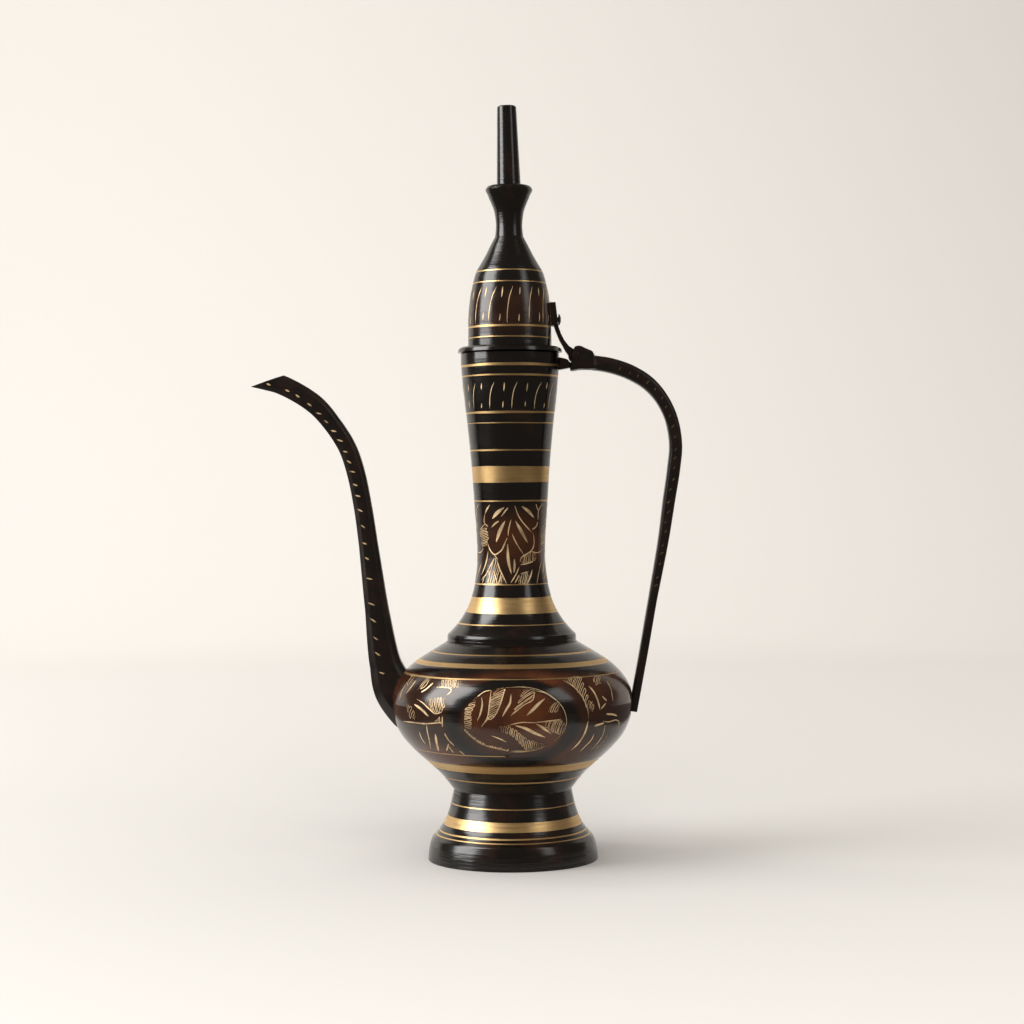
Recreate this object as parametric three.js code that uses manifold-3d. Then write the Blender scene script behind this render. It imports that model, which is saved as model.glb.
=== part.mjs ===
// An aftaba: a long-necked brass ewer with a hinged domed lid, a swan spout and a strap handle.
// Millimetres, +Z up. It stands on z = 0, the spout points along -X and the handle along +X.
// The pieces are drawn around the vessel's own axis, and the last lines centre the whole on its box.

import * as THREE from 'three';
import { mergeVertices } from 'three/addons/utils/BufferGeometryUtils.js';
import Module from 'manifold-3d';

const wasm = await Module();
wasm.setup();

// Fits and walls
const brazeGap = 0.3;
const shellWall = 1.8;
const lidWall = 1.6;
const spigotWall = 1.2;
const spigotDepth = 3;

// Seams of the vessel, from the table up: [radius, height]. The lid's radius sets the mouth's sizes.
const lidRadius = 19.8;
const standRadius = 40.2;
const flangeHeight = 10.4;
const flangeRadius = 38.2;
const waist = [27.9, 33.1];
const bellySeam = [56.9, 74.7];
const shoulderSeat = [30.9, 102.5];
const bowlFloor = 2;
const bowlTopPlate = 2;
const collarRadius = 30.5;
const collarHeight = 4.3;
const collarBore = 26;
const collarEdge = [0.6, 1.6];
const neckFoot = [29.5, shoulderSeat[1] + collarHeight];
const neckWaist = [16, 144];
const neckShoulder = 3.5;
const neckTop = [lidRadius + neckShoulder, 238];

// Rim ring
const rimHeight = 3.2;
const rimOverhang = 1.2;
const rimRadius = neckTop[0] + rimOverhang;
const lidSeat = 2.1;
const rimBore = lidRadius - lidSeat;
const rimTop = neckTop[1] + rimHeight;

// Lid, with the finial on it
const domeHeight = 52.2;
const domeTop = [6.8, rimTop + domeHeight];
const domePlate = 2.2;
const skirtClearance = 1.1;
const skirtRadius = rimBore - skirtClearance;
const skirtWall = 1.4;
const skirtDrop = 2.6;
const skirtFlange = 2;
const skirtRise = 3.8;
const cupSpigotRadius = 3.6;
const cupSpigotDrop = 4.4;
const cupWaistRise = 4.9;
const cupWaist = [6.3, domeTop[1] + cupWaistRise];
const cupHeight = 22.2;
const cupLip = [11.3, domeTop[1] + cupHeight];
const cupLipHeight = 1.8;
const dishRadius = 6.4;
const dishDepth = 1.8;
const socketRadius = 3.2;
const socketDepth = 8.5;
const tenonGap = 1;
const spikeHeight = 39.15;
const spikeRound = 0.7;
const spikeFootRadius = 5.75;
const spikeTopRadius = 4.6;
const spikeLean = 1.2;

// Hinge: the pin lies along Y, this far outside the rim and this far below its top
const pinStandoff = 6.4;
const pinDrop = 4.3;
const pin = {
  x: rimRadius + pinStandoff, z: rimTop - pinDrop,
  radius: 1.3, clearance: 0.2, headRadius: 2, headHeight: 0.6,
};
const eyeRadius = 3.4;
const leafWidth = 5;
const lugWidth = 8.4;
const lugRise = 10;
const lugHeight = 11;
const lugFootThickness = 3.2;
const lugTopThickness = 2.7;
const sideClearance = 0.3;
const clevisWidth = 11;
const clevisFloor = pin.z - 4;
const clevisBack = pin.x + 7.3;
const bracketWidth = 6.4;
const rivetRise = 13;
const rivet = {
  z: rimTop + rivetRise, radius: 1.2, clearance: 0.2,
  headRadius: 2.9, headHeight: 1.2, tailRadius: 2.2, tailHeight: 0.9,
};

// Spout
const spoutWall = 1.3;
const cutReach = 40;
const spoutHoleHeight = 82;
const spoutHoleDepth = 9;
const beakTip = [-122.1, 223.4];
const beakHeel = [-106.4, 228.7];

// Numbers of facets
const bellySides = 40;
const neckSides = 36;
const finialSides = 24;
const pinSides = 16;
const spoutSteps = 26;
const handleSteps = 22;

// Helpers for solids

// Closed body of a geometry, with its shared corners merged and its faces pointing out
function solidOf(geometry) {
  geometry.deleteAttribute('normal');
  geometry.deleteAttribute('uv');
  const merged = mergeVertices(geometry, 1e-4);
  const corners = merged.attributes.position;
  const faces = [];
  const a = new THREE.Vector3();
  const b = new THREE.Vector3();
  const c = new THREE.Vector3();
  let volume = 0;
  for (let i = 0; i < merged.index.count; i += 3) {
    const [p, q, r] = [0, 1, 2].map((k) => merged.index.getX(i + k));
    if (p === q || q === r || r === p) continue;
    faces.push([p, q, r]);
    a.fromBufferAttribute(corners, p);
    b.fromBufferAttribute(corners, q);
    c.fromBufferAttribute(corners, r);
    volume += a.dot(b.cross(c)) / 6;
  }
  const order = volume < 0 ? faces.map(([p, q, r]) => [p, r, q]) : faces;
  const vertProperties = new Float32Array(corners.array);
  const triVerts = new Uint32Array(order.flat());
  return new wasm.Manifold(new wasm.Mesh({ numProp: 3, vertProperties, triVerts }));
}

function meshOf(name, solid, material) {
  const { vertProperties, triVerts } = solid.getMesh();
  const geometry = new THREE.BufferGeometry();
  geometry.setAttribute('position', new THREE.BufferAttribute(new Float32Array(vertProperties), 3));
  geometry.setIndex(new THREE.BufferAttribute(new Uint32Array(triVerts), 1));
  geometry.computeVertexNormals();
  const mesh = new THREE.Mesh(geometry, material);
  mesh.name = name;
  return mesh;
}

// Points of a smooth outline through a few [radius, height] points
function outline(points, steps) {
  const curve = new THREE.SplineCurve(points.map(([r, z]) => new THREE.Vector2(r, z)));
  return curve.getPoints(steps).map((p) => [p.x, p.y]);
}

// Points between two [radius, height] ends, each a share of the way out and a share of the way up
function between([r0, z0], [r1, z1], shares) {
  return shares.map(([out, up]) => [r0 + out * (r1 - r0), z0 + up * (z1 - z0)]);
}

// Radius of an outline at a height
function radiusAt(points, height) {
  const above = points.findIndex(([, z]) => z >= height);
  const [[r0, z0], [r1, z1]] = [points[above - 1], points[above]];
  return r0 + (r1 - r0) * (height - z0) / (z1 - z0);
}

// Outline points given from the hinge pin's centre
function fromPin(offsets) {
  return offsets.map(([dx, dz]) => [pin.x + dx, pin.z + dz]);
}

// The same outline moved towards the axis by a wall's thickness, square to the wall
function inset(points, thickness) {
  return points.map(([r, z], i) => {
    const [r0, z0] = points[Math.max(i - 1, 0)];
    const [r1, z1] = points[Math.min(i + 1, points.length - 1)];
    return [r - thickness * Math.hypot(1, (r1 - r0) / (z1 - z0)), z];
  });
}

// Body turned on the vessel's axis. An outline that doesn't start on the axis closes on itself.
function turned(points, sides) {
  const profile = points.map(([r, z]) => new THREE.Vector2(r, z));
  if (points[0][0] > 0) profile.push(profile[0].clone());
  const geometry = new THREE.LatheGeometry(profile, sides);
  geometry.rotateX(Math.PI / 2);
  return solidOf(geometry);
}

// Plate whose outline is [x, z] points, and whose thickness lies along Y about the middle plane
function plate(points, width) {
  const shape = new THREE.Shape(points.map(([x, z]) => new THREE.Vector2(x, z)));
  const geometry = new THREE.ExtrudeGeometry(shape, { depth: width, bevelEnabled: false });
  geometry.translate(0, 0, -width / 2);
  geometry.rotateX(Math.PI / 2);
  return solidOf(geometry);
}

// Round bar along Y through [x, z]
function crossBar(x, z, radius, length) {
  const geometry = new THREE.CylinderGeometry(radius, radius, length, pinSides);
  geometry.translate(x, 0, z);
  return solidOf(geometry);
}

// Body through a row of rings, each with the same number of corners
function loft(rings) {
  const count = rings[0].length;
  const positions = rings.flat().flatMap((p) => [p.x, p.y, p.z]);
  const faces = [];
  for (let i = 0; i + 1 < rings.length; i++) {
    for (let k = 0; k < count; k++) {
      const next = (k + 1) % count;
      const [a, b] = [i * count + k, i * count + next];
      faces.push(a, b, b + count, a, b + count, a + count);
    }
  }
  const last = (rings.length - 1) * count;
  for (let k = 1; k + 1 < count; k++) {
    faces.push(0, k + 1, k, last, last + k, last + k + 1);
  }
  const geometry = new THREE.BufferGeometry();
  geometry.setAttribute('position', new THREE.BufferAttribute(new Float32Array(positions), 3));
  geometry.setIndex(faces);
  return solidOf(geometry);
}

// Chamfered bar swept in the middle plane. Stations are [x, z, depth, width, outer chamfer].
// The outer side lies to the left of the way that the stations run.
function sweptBar(stations, steps, innerChamfer) {
  const path = new THREE.CatmullRomCurve3(stations.map(([x, z]) => new THREE.Vector3(x, 0, z)));
  const sizes = new THREE.CatmullRomCurve3(stations.map(([, , d, w, c]) => new THREE.Vector3(d, w, c)));
  const rings = [];
  for (let i = 0; i <= steps; i++) {
    const centre = path.getPoint(i / steps);
    const along = path.getTangent(i / steps);
    const { x: depth, y: width, z: outerChamfer } = sizes.getPoint(i / steps);
    const inner = innerChamfer * depth;
    const side = innerChamfer * width;
    const corners = [
      [depth / 2, width / 2 - side],
      [depth / 2, side - width / 2],
      [depth / 2 - outerChamfer, -width / 2],
      [inner - depth / 2, -width / 2],
      [-depth / 2, side - width / 2],
      [-depth / 2, width / 2 - side],
      [inner - depth / 2, width / 2],
      [depth / 2 - outerChamfer, width / 2],
    ];
    rings.push(corners.map(([out, y]) => new THREE.Vector3(
      centre.x - along.z * out, y, centre.z + along.x * out)));
  }
  return loft(rings);
}

// Outlines of the vessel
const footOutline = [
  [standRadius, 0], [standRadius - 0.3, 3.4], [standRadius - 1, 7.4],
  ...outline([[flangeRadius, flangeHeight],
    ...between([flangeRadius, flangeHeight], waist, [[0.466, 0.251], [0.786, 0.581]]), waist], 6),
];
const lowerOutline = outline([
  waist, ...between(waist, bellySeam, [[0.231, 0.2], [0.562, 0.409], [0.831, 0.613], [0.962, 0.81]]),
  bellySeam], 10);
const upperOutline = outline([
  bellySeam,
  ...between(bellySeam, shoulderSeat, [[0.035, 0.212], [0.173, 0.439], [0.396, 0.644], [0.712, 0.838]]),
  shoulderSeat], 10);
const neckOutline = outline([
  neckFoot, ...between(neckFoot, neckWaist, [[0.37, 0.153], [0.711, 0.376], [0.926, 0.677]]),
  neckWaist,
  ...between(neckWaist, neckTop, [[0.151, 0.207], [0.425, 0.509], [0.753, 0.75], [0.973, 0.92]]),
  neckTop], 14);
const lidFoot = [lidRadius, rimTop];
const domeOutline = outline([
  lidFoot,
  ...between(lidFoot, domeTop, [
    [0.004, 0.13], [0.031, 0.322], [0.131, 0.513], [0.3, 0.676], [0.585, 0.801], [0.838, 0.923]]),
  domeTop], 12);

// Vessel
function makeFoot() {
  return turned([...footOutline, ...inset(footOutline, shellWall).reverse()], bellySides);
}

function makeLowerBowl() {
  const spigot = waist[0] - shellWall - brazeGap;
  const inner = inset(lowerOutline, shellWall).filter(([, z]) => z > waist[1] + bowlFloor);
  return turned([
    [0, waist[1]],
    [spigot - spigotWall, waist[1]], [spigot - spigotWall, waist[1] - spigotDepth],
    [spigot, waist[1] - spigotDepth], [spigot, waist[1]],
    ...lowerOutline, ...inner.reverse(),
    [inner[inner.length - 1][0] - shellWall, waist[1] + bowlFloor], [0, waist[1] + bowlFloor],
  ], bellySides);
}

function makeUpperBowl() {
  const top = shoulderSeat[1] - bowlTopPlate;
  const spigot = bellySeam[0] - shellWall - brazeGap;
  const inner = inset(upperOutline, shellWall).slice(1).filter(([, z]) => z < top);
  return turned([
    [spigot, bellySeam[1]], ...upperOutline, [collarBore, shoulderSeat[1]], [collarBore, top],
    [inner[inner.length - 1][0] - shellWall, top], ...inner.reverse(),
    [spigot - spigotWall, bellySeam[1]], [spigot - spigotWall, bellySeam[1] - spigotDepth],
    [spigot - brazeGap, bellySeam[1] - spigotDepth],
  ], bellySides);
}

function makeShoulderCollar() {
  const [radius, top] = neckFoot;
  return turned([
    [collarBore, shoulderSeat[1]], [collarRadius, shoulderSeat[1]], [collarRadius, top - collarEdge[1]],
    [radius + collarEdge[0], top - collarEdge[1] / 4], [radius, top], [collarBore, top],
  ], bellySides);
}

function makeNeck() {
  const spigot = collarBore - brazeGap;
  const bore = spigot - spigotWall;
  const foot = shoulderSeat[1] - bowlTopPlate;
  const inner = inset(neckOutline, shellWall).map(([r, z]) => [Math.min(r, bore), z]);
  return turned([
    [bore, foot], [spigot, foot], [spigot, neckFoot[1]],
    ...neckOutline, ...inner.slice(1).reverse(),
  ], neckSides);
}

function makeRimRing() {
  const spigot = neckTop[0] - shellWall - brazeGap;
  const round = rimHeight / 2;
  const edge = [-60, -20, 20, 60].map((degrees) => {
    const angle = THREE.MathUtils.degToRad(degrees);
    return [rimRadius + round * (Math.cos(angle) - 1), neckTop[1] + round * (1 + Math.sin(angle))];
  });
  return turned([
    [spigot - spigotWall, neckTop[1] - spigotDepth], [spigot, neckTop[1] - spigotDepth],
    [spigot, neckTop[1]], ...edge,
    [edge[3][0] - 0.6, rimTop], [rimBore, rimTop], [rimBore, neckTop[1]],
    [spigot - spigotWall, neckTop[1]],
  ], neckSides);
}

// Solid that fills an outline, grown by the brazing gap, to cut what is brazed on outside
function filled(points, sides) {
  const grown = inset(points, -brazeGap);
  const [first, last] = [grown[0], grown[grown.length - 1]];
  return turned([[0, first[1]], ...grown, [0, last[1]]], sides);
}

// Spout. Its stations run from inside the belly up to just past the beak.
const spoutStations = [
  [-40, 68, 25, 16, 5], [-48, 73, 24, 16, 5], [-55.5, 81, 20, 14.5, 4], [-59.7, 92, 14.8, 12.6, 3.2],
  [-63.7, 118.6, 11, 10, 2.3], [-67.5, 149.2, 8.9, 8.4, 1.9], [-69.9, 166.4, 8.5, 8, 1.8],
  [-73.1, 182.6, 8.5, 7.9, 1.8], [-77, 194.3, 8.4, 7.9, 1.9], [-83.9, 205.4, 8.4, 7.9, 2.1],
  [-92.6, 215.2, 9.2, 8.1, 2.6], [-107.6, 224.1, 9.2, 8.2, 4], [-116.1, 226.2, 8.3, 8.2, 4.2],
  [-125, 228.1, 8, 8.2, 4.2],
];
const spoutChamfer = 0.22;

function makeSpoutBore() {
  const shared = spoutStations.slice(4).map(([x, z, depth, width, chamfer]) => [
    x, z, depth - 2 * spoutWall, width - 2 * spoutWall, chamfer * 0.7]);
  const wide = (x, z) => [x, z, spoutHoleDepth, spoutHoleDepth - 0.6, 2];
  return sweptBar([
    wide(-38, spoutHoleHeight), wide(-50, spoutHoleHeight), wide(-58, spoutHoleHeight + 8), ...shared,
  ], spoutSteps, spoutChamfer);
}

// Wedge of space above the slanting mouth
function makeBeakCut() {
  const [dx, dz] = [beakHeel[0] - beakTip[0], beakHeel[1] - beakTip[1]];
  const far = [beakTip[0] - dx, beakTip[1] - dz];
  const past = [beakHeel[0] + dx * 0.02, beakHeel[1] + dz * 0.02];
  return plate([far, past, [past[0], past[1] + cutReach], [far[0], past[1] + cutReach]], cutReach);
}

function makeSpout(bore) {
  const belly = filled(lowerOutline, bellySides).add(filled(upperOutline, bellySides));
  return sweptBar(spoutStations, spoutSteps, spoutChamfer)
    .subtract(belly).subtract(bore).subtract(makeBeakCut());
}

// Handle: a strap that thins towards its foot on the belly, with the hinge clevis cast on its head.
// Stations are [x, share of the height from foot to head, depth, width, outer chamfer].
const handleHead = [pin.x + 6.1, pin.z - 2.9];
const handleFoot = [57.2, 69.1];
const handleStations = [
  [handleHead[0], 1, 6.8, 9.6, 1.4], [47.2, 0.99, 6.9, 9.4, 1.5], [56.7, 0.97, 6.9, 9.2, 1.5],
  [65.1, 0.939, 6.6, 9, 1.4], [71.2, 0.897, 6.1, 8.8, 1.3], [75.9, 0.839, 5.9, 8.6, 1.2],
  [78, 0.763, 6.1, 8.4, 1.2], [76.9, 0.69, 6, 8.2, 1.2], [74.7, 0.605, 5.7, 8, 1.1],
  [71.9, 0.49, 5, 7.6, 1], [66.6, 0.318, 4.1, 7, 0.8], [62.4, 0.175, 4.1, 6.6, 0.8],
  [58.9, 0.06, 4, 7, 0.8], [handleFoot[0], 0, 3.6, 7.4, 0.7],
].map(([x, share, ...rest]) => [x, handleFoot[1] + share * (handleHead[1] - handleFoot[1]), ...rest]);
const handleChamfer = 0.16;
const clevisOutline = fromPin([
  [-2.8, -7.1], [2.1, -6.3], [8.7, -6.3], [8.7, 0.7], [7.9, 2.1], [1.9, 4.7], [-0.1, 4.6], [-0.9, 4],
]);

function makeHandle() {
  const belly = filled(lowerOutline, bellySides).add(filled(upperOutline, bellySides));
  const reach = eyeRadius + sideClearance;
  const slot = plate([
    [pin.x - cutReach, clevisFloor], [clevisBack, clevisFloor],
    [clevisBack, pin.z + cutReach], [pin.x - cutReach, pin.z + cutReach],
  ], leafWidth + 2 * sideClearance);
  const strapEnd = clevisBack + 1;
  const strap = sweptBar(handleStations, handleSteps, handleChamfer).subtract(plate([
    [strapEnd - cutReach, pin.z - cutReach / 2], [strapEnd, pin.z - cutReach / 2],
    [strapEnd, pin.z + cutReach / 2], [strapEnd - cutReach, pin.z + cutReach / 2]], clevisWidth * 2));
  const pinHole = crossBar(pin.x, pin.z, pin.radius + pin.clearance, clevisWidth * 2);
  const eyeRoom = crossBar(pin.x, pin.z, reach, leafWidth + 2 * sideClearance);
  return plate(clevisOutline, clevisWidth).add(strap)
    .subtract(slot).subtract(eyeRoom).subtract(pinHole).subtract(belly);
}

function makeHingePin() {
  const half = clevisWidth / 2;
  const profile = [
    [0, -half - pin.headHeight], [pin.headRadius * 0.7, -half - pin.headHeight], [pin.headRadius, -half],
    [pin.radius, -half], [pin.radius, half], [pin.headRadius, half],
    [pin.headRadius * 0.7, half + pin.headHeight], [0, half + pin.headHeight],
  ].map(([r, y]) => new THREE.Vector2(r, y));
  const geometry = new THREE.LatheGeometry(profile, pinSides);
  geometry.translate(pin.x, 0, pin.z);
  return solidOf(geometry);
}

// Lug between the neck and the clevis, below the eye of the leaf
function makeNeckBracket() {
  const root = neckTop[0] - shellWall;
  const outer = fromPin([[-3.1, -7], [-2.2, -1.3], [-4.7, -0.3]]);
  const blank = plate([[root, pin.z - 6.3], ...outer, [root, pin.z - 0.5]], bracketWidth);
  return blank.subtract(filled(neckOutline, neckSides))
    .subtract(crossBar(pin.x, pin.z, eyeRadius + 2 * sideClearance, bracketWidth * 2));
}

// Leaf: an eye on the pin, a strap that curves up past the rim, and a lug against the lid
const lugInside = lidRadius - lidSeat;
const lugFootZ = rimTop + lugRise;
const lugTopZ = lugFootZ + lugHeight;
const lugFoot = [radiusAt(domeOutline, lugFootZ) + lugFootThickness, lugFootZ];
const lugTop = [radiusAt(domeOutline, lugTopZ) + lugTopThickness, lugTopZ];
const leafOutline = [
  ...fromPin([[-3, -0.2], [-4.9, 2.5], [-6, 4.7], [-7.5, 7.3]]),
  [lidRadius + 1.8, lugFootZ - 2.6], [lidRadius + 0.8, lugFootZ + 0.4],
  [lugInside, lugFootZ + 1], [lugInside, lugTopZ], lugTop, lugFoot,
  ...fromPin([[-6.7, 10.5], [-5.2, 7.5], [-3, 4.7], [-0.9, 3.3]]),
];

function makeHingeLeaf() {
  const lug = plate([[lugInside, lugFootZ], lugFoot, lugTop, [lugInside, lugTopZ]], lugWidth);
  const hole = crossBar(pin.x, pin.z, pin.radius + pin.clearance, leafWidth * 2);
  return plate(leafOutline, leafWidth)
    .add(crossBar(pin.x, pin.z, eyeRadius, leafWidth))
    .add(lug)
    .subtract(hole)
    .subtract(filled(domeOutline, neckSides))
    .subtract(rivetShank(rivet.radius + rivet.clearance));
}

// Round bar along X at the rivet's height, through the lid's wall and the lug
function rivetShank(radius) {
  const from = lidRadius / 2;
  const to = pin.x;
  const geometry = new THREE.CylinderGeometry(radius, radius, to - from, pinSides);
  geometry.rotateZ(Math.PI / 2);
  geometry.translate((from + to) / 2, 0, rivet.z);
  return solidOf(geometry);
}

function makeLeafRivet() {
  const { radius, headRadius, headHeight, tailRadius, tailHeight } = rivet;
  const face = lugFoot[0] + 0.1;
  const wall = radiusAt(domeOutline, rivet.z + tailRadius) - lidWall;
  const inside = Math.sqrt(wall * wall - tailRadius * tailRadius) - brazeGap;
  const profile = [
    [0, inside - tailHeight], [tailRadius * 0.8, inside - tailHeight], [tailRadius, inside - tailHeight / 2],
    [tailRadius, inside], [radius, inside], [radius, face], [headRadius, face],
    [headRadius * 0.8, face + headHeight * 0.6], [headRadius * 0.4, face + headHeight],
    [0, face + headHeight],
  ].map(([r, x]) => new THREE.Vector2(r, x));
  const geometry = new THREE.LatheGeometry(profile, pinSides);
  geometry.rotateZ(-Math.PI / 2);
  geometry.translate(0, 0, rivet.z);
  return solidOf(geometry);
}

// Lid
function makeLidDome() {
  const under = domeTop[1] - domePlate;
  const hole = cupSpigotRadius + brazeGap;
  const inner = inset(domeOutline, lidWall).filter(([, z]) => z < under);
  return turned([
    ...domeOutline, [hole, domeTop[1]], [hole, under],
    ...inner.reverse(),
  ], neckSides).subtract(rivetShank(rivet.radius + rivet.clearance));
}

function makeLidSkirt() {
  const top = rimTop + skirtRise;
  const bore = skirtRadius - skirtWall;
  const flange = lidRadius - lidWall - brazeGap;
  return turned([
    [bore, rimTop - skirtDrop], [skirtRadius, rimTop - skirtDrop], [skirtRadius, top - skirtFlange],
    [flange, top - skirtFlange], [flange, top], [bore, top],
  ], neckSides);
}

function makeFinialCup() {
  const [lipRadius, lipFoot] = cupLip;
  const lipTop = lipFoot + cupLipHeight;
  const dish = lipTop - dishDepth;
  const flare = between(cupWaist, cupLip, [[0.16, 0.405], [0.62, 0.746], [0.92, 0.954]]);
  const side = outline([domeTop, cupWaist, ...flare], 8);
  return turned([
    [0, domeTop[1] - cupSpigotDrop], [cupSpigotRadius, domeTop[1] - cupSpigotDrop],
    [cupSpigotRadius, domeTop[1]], ...side,
    [lipRadius, lipFoot + cupLipHeight * 0.3], [lipRadius - 0.3, lipTop - 0.4], [lipRadius - 1, lipTop],
    [dishRadius, dish], [socketRadius, dish], [socketRadius, dish - socketDepth], [0, dish - socketDepth],
  ], finialSides);
}

function makeFinialSpike() {
  const foot = cupLip[1] + cupLipHeight - dishDepth + brazeGap / 2;
  const tenon = socketRadius - brazeGap - socketDepth * Math.sin(THREE.MathUtils.degToRad(spikeLean));
  const geometry = new THREE.LatheGeometry([
    [0, tenonGap - socketDepth], [tenon, tenonGap - socketDepth], [tenon, 0], [spikeFootRadius, 0],
    [spikeTopRadius, spikeHeight - spikeRound], [spikeTopRadius - spikeRound, spikeHeight],
    [0, spikeHeight],
  ].map(([r, z]) => new THREE.Vector2(r, z)), finialSides);
  geometry.rotateX(Math.PI / 2);
  geometry.rotateY(THREE.MathUtils.degToRad(-spikeLean));
  geometry.translate(0, 0, foot);
  return solidOf(geometry);
}

// Finishes: near-black lacquer over brass, and the bare brass of the pins
const lacquer = () => new THREE.MeshStandardMaterial({ color: 0x14100e, roughness: 0.3, metalness: 0.4 });
const darkCasting = () => new THREE.MeshStandardMaterial({ color: 0x1c1815, roughness: 0.42, metalness: 0.4 });
const brass = () => new THREE.MeshStandardMaterial({ color: 0xb58a4a, roughness: 0.35, metalness: 1 });

const bore = makeSpoutBore();
const group = new THREE.Group();
group.add(
  meshOf('foot', makeFoot(), lacquer()),
  meshOf('lower_bowl', makeLowerBowl(), lacquer()),
  meshOf('upper_bowl', makeUpperBowl().subtract(bore), lacquer()),
  meshOf('shoulder_collar', makeShoulderCollar(), lacquer()),
  meshOf('neck_tube', makeNeck(), lacquer()),
  meshOf('rim_ring', makeRimRing(), lacquer()),
  meshOf('spout_tube', makeSpout(bore), darkCasting()),
  meshOf('handle_bar', makeHandle(), darkCasting()),
  meshOf('neck_bracket', makeNeckBracket(), darkCasting()),
  meshOf('hinge_pin', makeHingePin(), brass()),
  meshOf('hinge_leaf', makeHingeLeaf(), darkCasting()),
  meshOf('leaf_rivet', makeLeafRivet(), brass()),
  meshOf('lid_dome', makeLidDome(), lacquer()),
  meshOf('lid_skirt', makeLidSkirt(), brass()),
  meshOf('finial_cup', makeFinialCup(), lacquer()),
  meshOf('finial_spike', makeFinialSpike(), lacquer()),
);

// The origin is the middle of the whole box, on the table
const box = new THREE.Box3().setFromObject(group);
group.position.x = -(box.min.x + box.max.x) / 2;

export default group;
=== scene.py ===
"""A long-necked brass ewer in black lacquer, with turned bands and cut foliage.

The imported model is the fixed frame. Every piece here is laid over its node of that frame, in metres.
"""

import math
import random
from bisect import bisect_left
from collections import namedtuple
from functools import cache

import bmesh
import bpy
from mathutils import Euler, Matrix, Vector, noise


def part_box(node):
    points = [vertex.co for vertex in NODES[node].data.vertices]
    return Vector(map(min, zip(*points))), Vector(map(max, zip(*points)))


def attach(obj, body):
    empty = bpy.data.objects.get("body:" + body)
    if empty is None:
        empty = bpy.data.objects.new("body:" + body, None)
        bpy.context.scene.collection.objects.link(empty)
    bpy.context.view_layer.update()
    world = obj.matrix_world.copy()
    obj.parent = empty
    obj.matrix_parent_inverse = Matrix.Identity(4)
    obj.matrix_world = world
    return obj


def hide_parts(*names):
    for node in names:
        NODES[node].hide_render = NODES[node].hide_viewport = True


bl_info = {
    "name": "Lacquered Ewer",
    "version": (1, 0, 0),
    "blender": (4, 5, 0),
    "location": "View3D > Sidebar > Ewer",
    "description": "Dresses a long-necked brass ewer in black lacquer, turned bands and cut foliage",
    "category": "Add Mesh",
}

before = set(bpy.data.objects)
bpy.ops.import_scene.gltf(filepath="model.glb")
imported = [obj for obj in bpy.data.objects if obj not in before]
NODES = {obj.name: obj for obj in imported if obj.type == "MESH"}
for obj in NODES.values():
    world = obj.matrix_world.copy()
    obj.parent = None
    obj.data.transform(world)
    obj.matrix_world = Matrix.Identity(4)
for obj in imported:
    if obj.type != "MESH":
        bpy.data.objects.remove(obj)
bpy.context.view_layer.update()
MM = 0.001

# Places that come from the frame
foot_low, foot_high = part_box("foot")
AXIS_X = (foot_low.x + foot_high.x) / 2
WAIST = foot_high.z
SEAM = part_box("lower_bowl")[1].z
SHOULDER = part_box("shoulder_collar")[0].z
NECK_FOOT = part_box("shoulder_collar")[1].z
NECK_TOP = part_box("neck_tube")[1].z
RIM_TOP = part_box("rim_ring")[1].z
DOME_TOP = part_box("lid_dome")[1].z
CUP_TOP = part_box("finial_cup")[1].z
SPIKE_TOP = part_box("finial_spike")[1].z

# The stencil for the cut foliage is drawn as seen from the front, at this distance and eye height.
# A unit of it is this long at the vessel's axis.
STENCIL_UNIT = 0.4725 * MM
EYE_DISTANCE = 1.0
EYE_HEIGHT = 0.174

# The turned walls lie this far under their nodes, so that the raised edges of the cuts stay inside
SHY = 0.065 * MM


# Sizes and colours that a user would change

class EwerShellSettings(bpy.types.PropertyGroup):
    """Sizes of the turned walls"""

    columns: bpy.props.IntProperty(
        name="Columns", description="Flats around each turned wall", default=192, min=24)
    row_step: bpy.props.FloatProperty(
        name="Row Step", description="Height between two rows of a turned wall",
        default=0.9 * MM, unit="LENGTH", precision=5)
    wall: bpy.props.FloatProperty(
        name="Wall", description="Thickness of the vessel's walls", default=1.8 * MM, unit="LENGTH")
    lid_wall: bpy.props.FloatProperty(
        name="Lid Wall", description="Thickness of the lid's wall", default=1.6 * MM, unit="LENGTH")
    tool_marks: bpy.props.FloatProperty(
        name="Tool Marks", description="Depth of the ridges left by the turning tool on the lid",
        default=0.035 * MM, unit="LENGTH", precision=6)


class EwerCutSettings(bpy.types.PropertyGroup):
    """Sizes of the bands and of the engraver's cuts"""

    band_depth: bpy.props.FloatProperty(
        name="Band Depth", description="How deep a turned band lies under the lacquer",
        default=0.09 * MM, unit="LENGTH", precision=6)
    band_lip: bpy.props.FloatProperty(
        name="Band Lip", description="Width of the lacquer's edge beside a band",
        default=0.05 * MM, unit="LENGTH", precision=6)
    burr: bpy.props.FloatProperty(
        name="Burr", description="Height of a cut's edges over the lacquer",
        default=0.06 * MM, unit="LENGTH", precision=6)
    depth: bpy.props.FloatProperty(
        name="Cut Depth", description="Depth of a cut under the lacquer",
        default=0.12 * MM, unit="LENGTH", precision=6)
    step: bpy.props.FloatProperty(
        name="Cut Step", description="Longest straight piece of a cut", default=1.1 * MM, unit="LENGTH")
    hatch_width: bpy.props.FloatProperty(
        name="Hatch Width", description="Width of one rocked hatch stroke",
        default=0.27 * MM, unit="LENGTH", precision=5)


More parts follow.
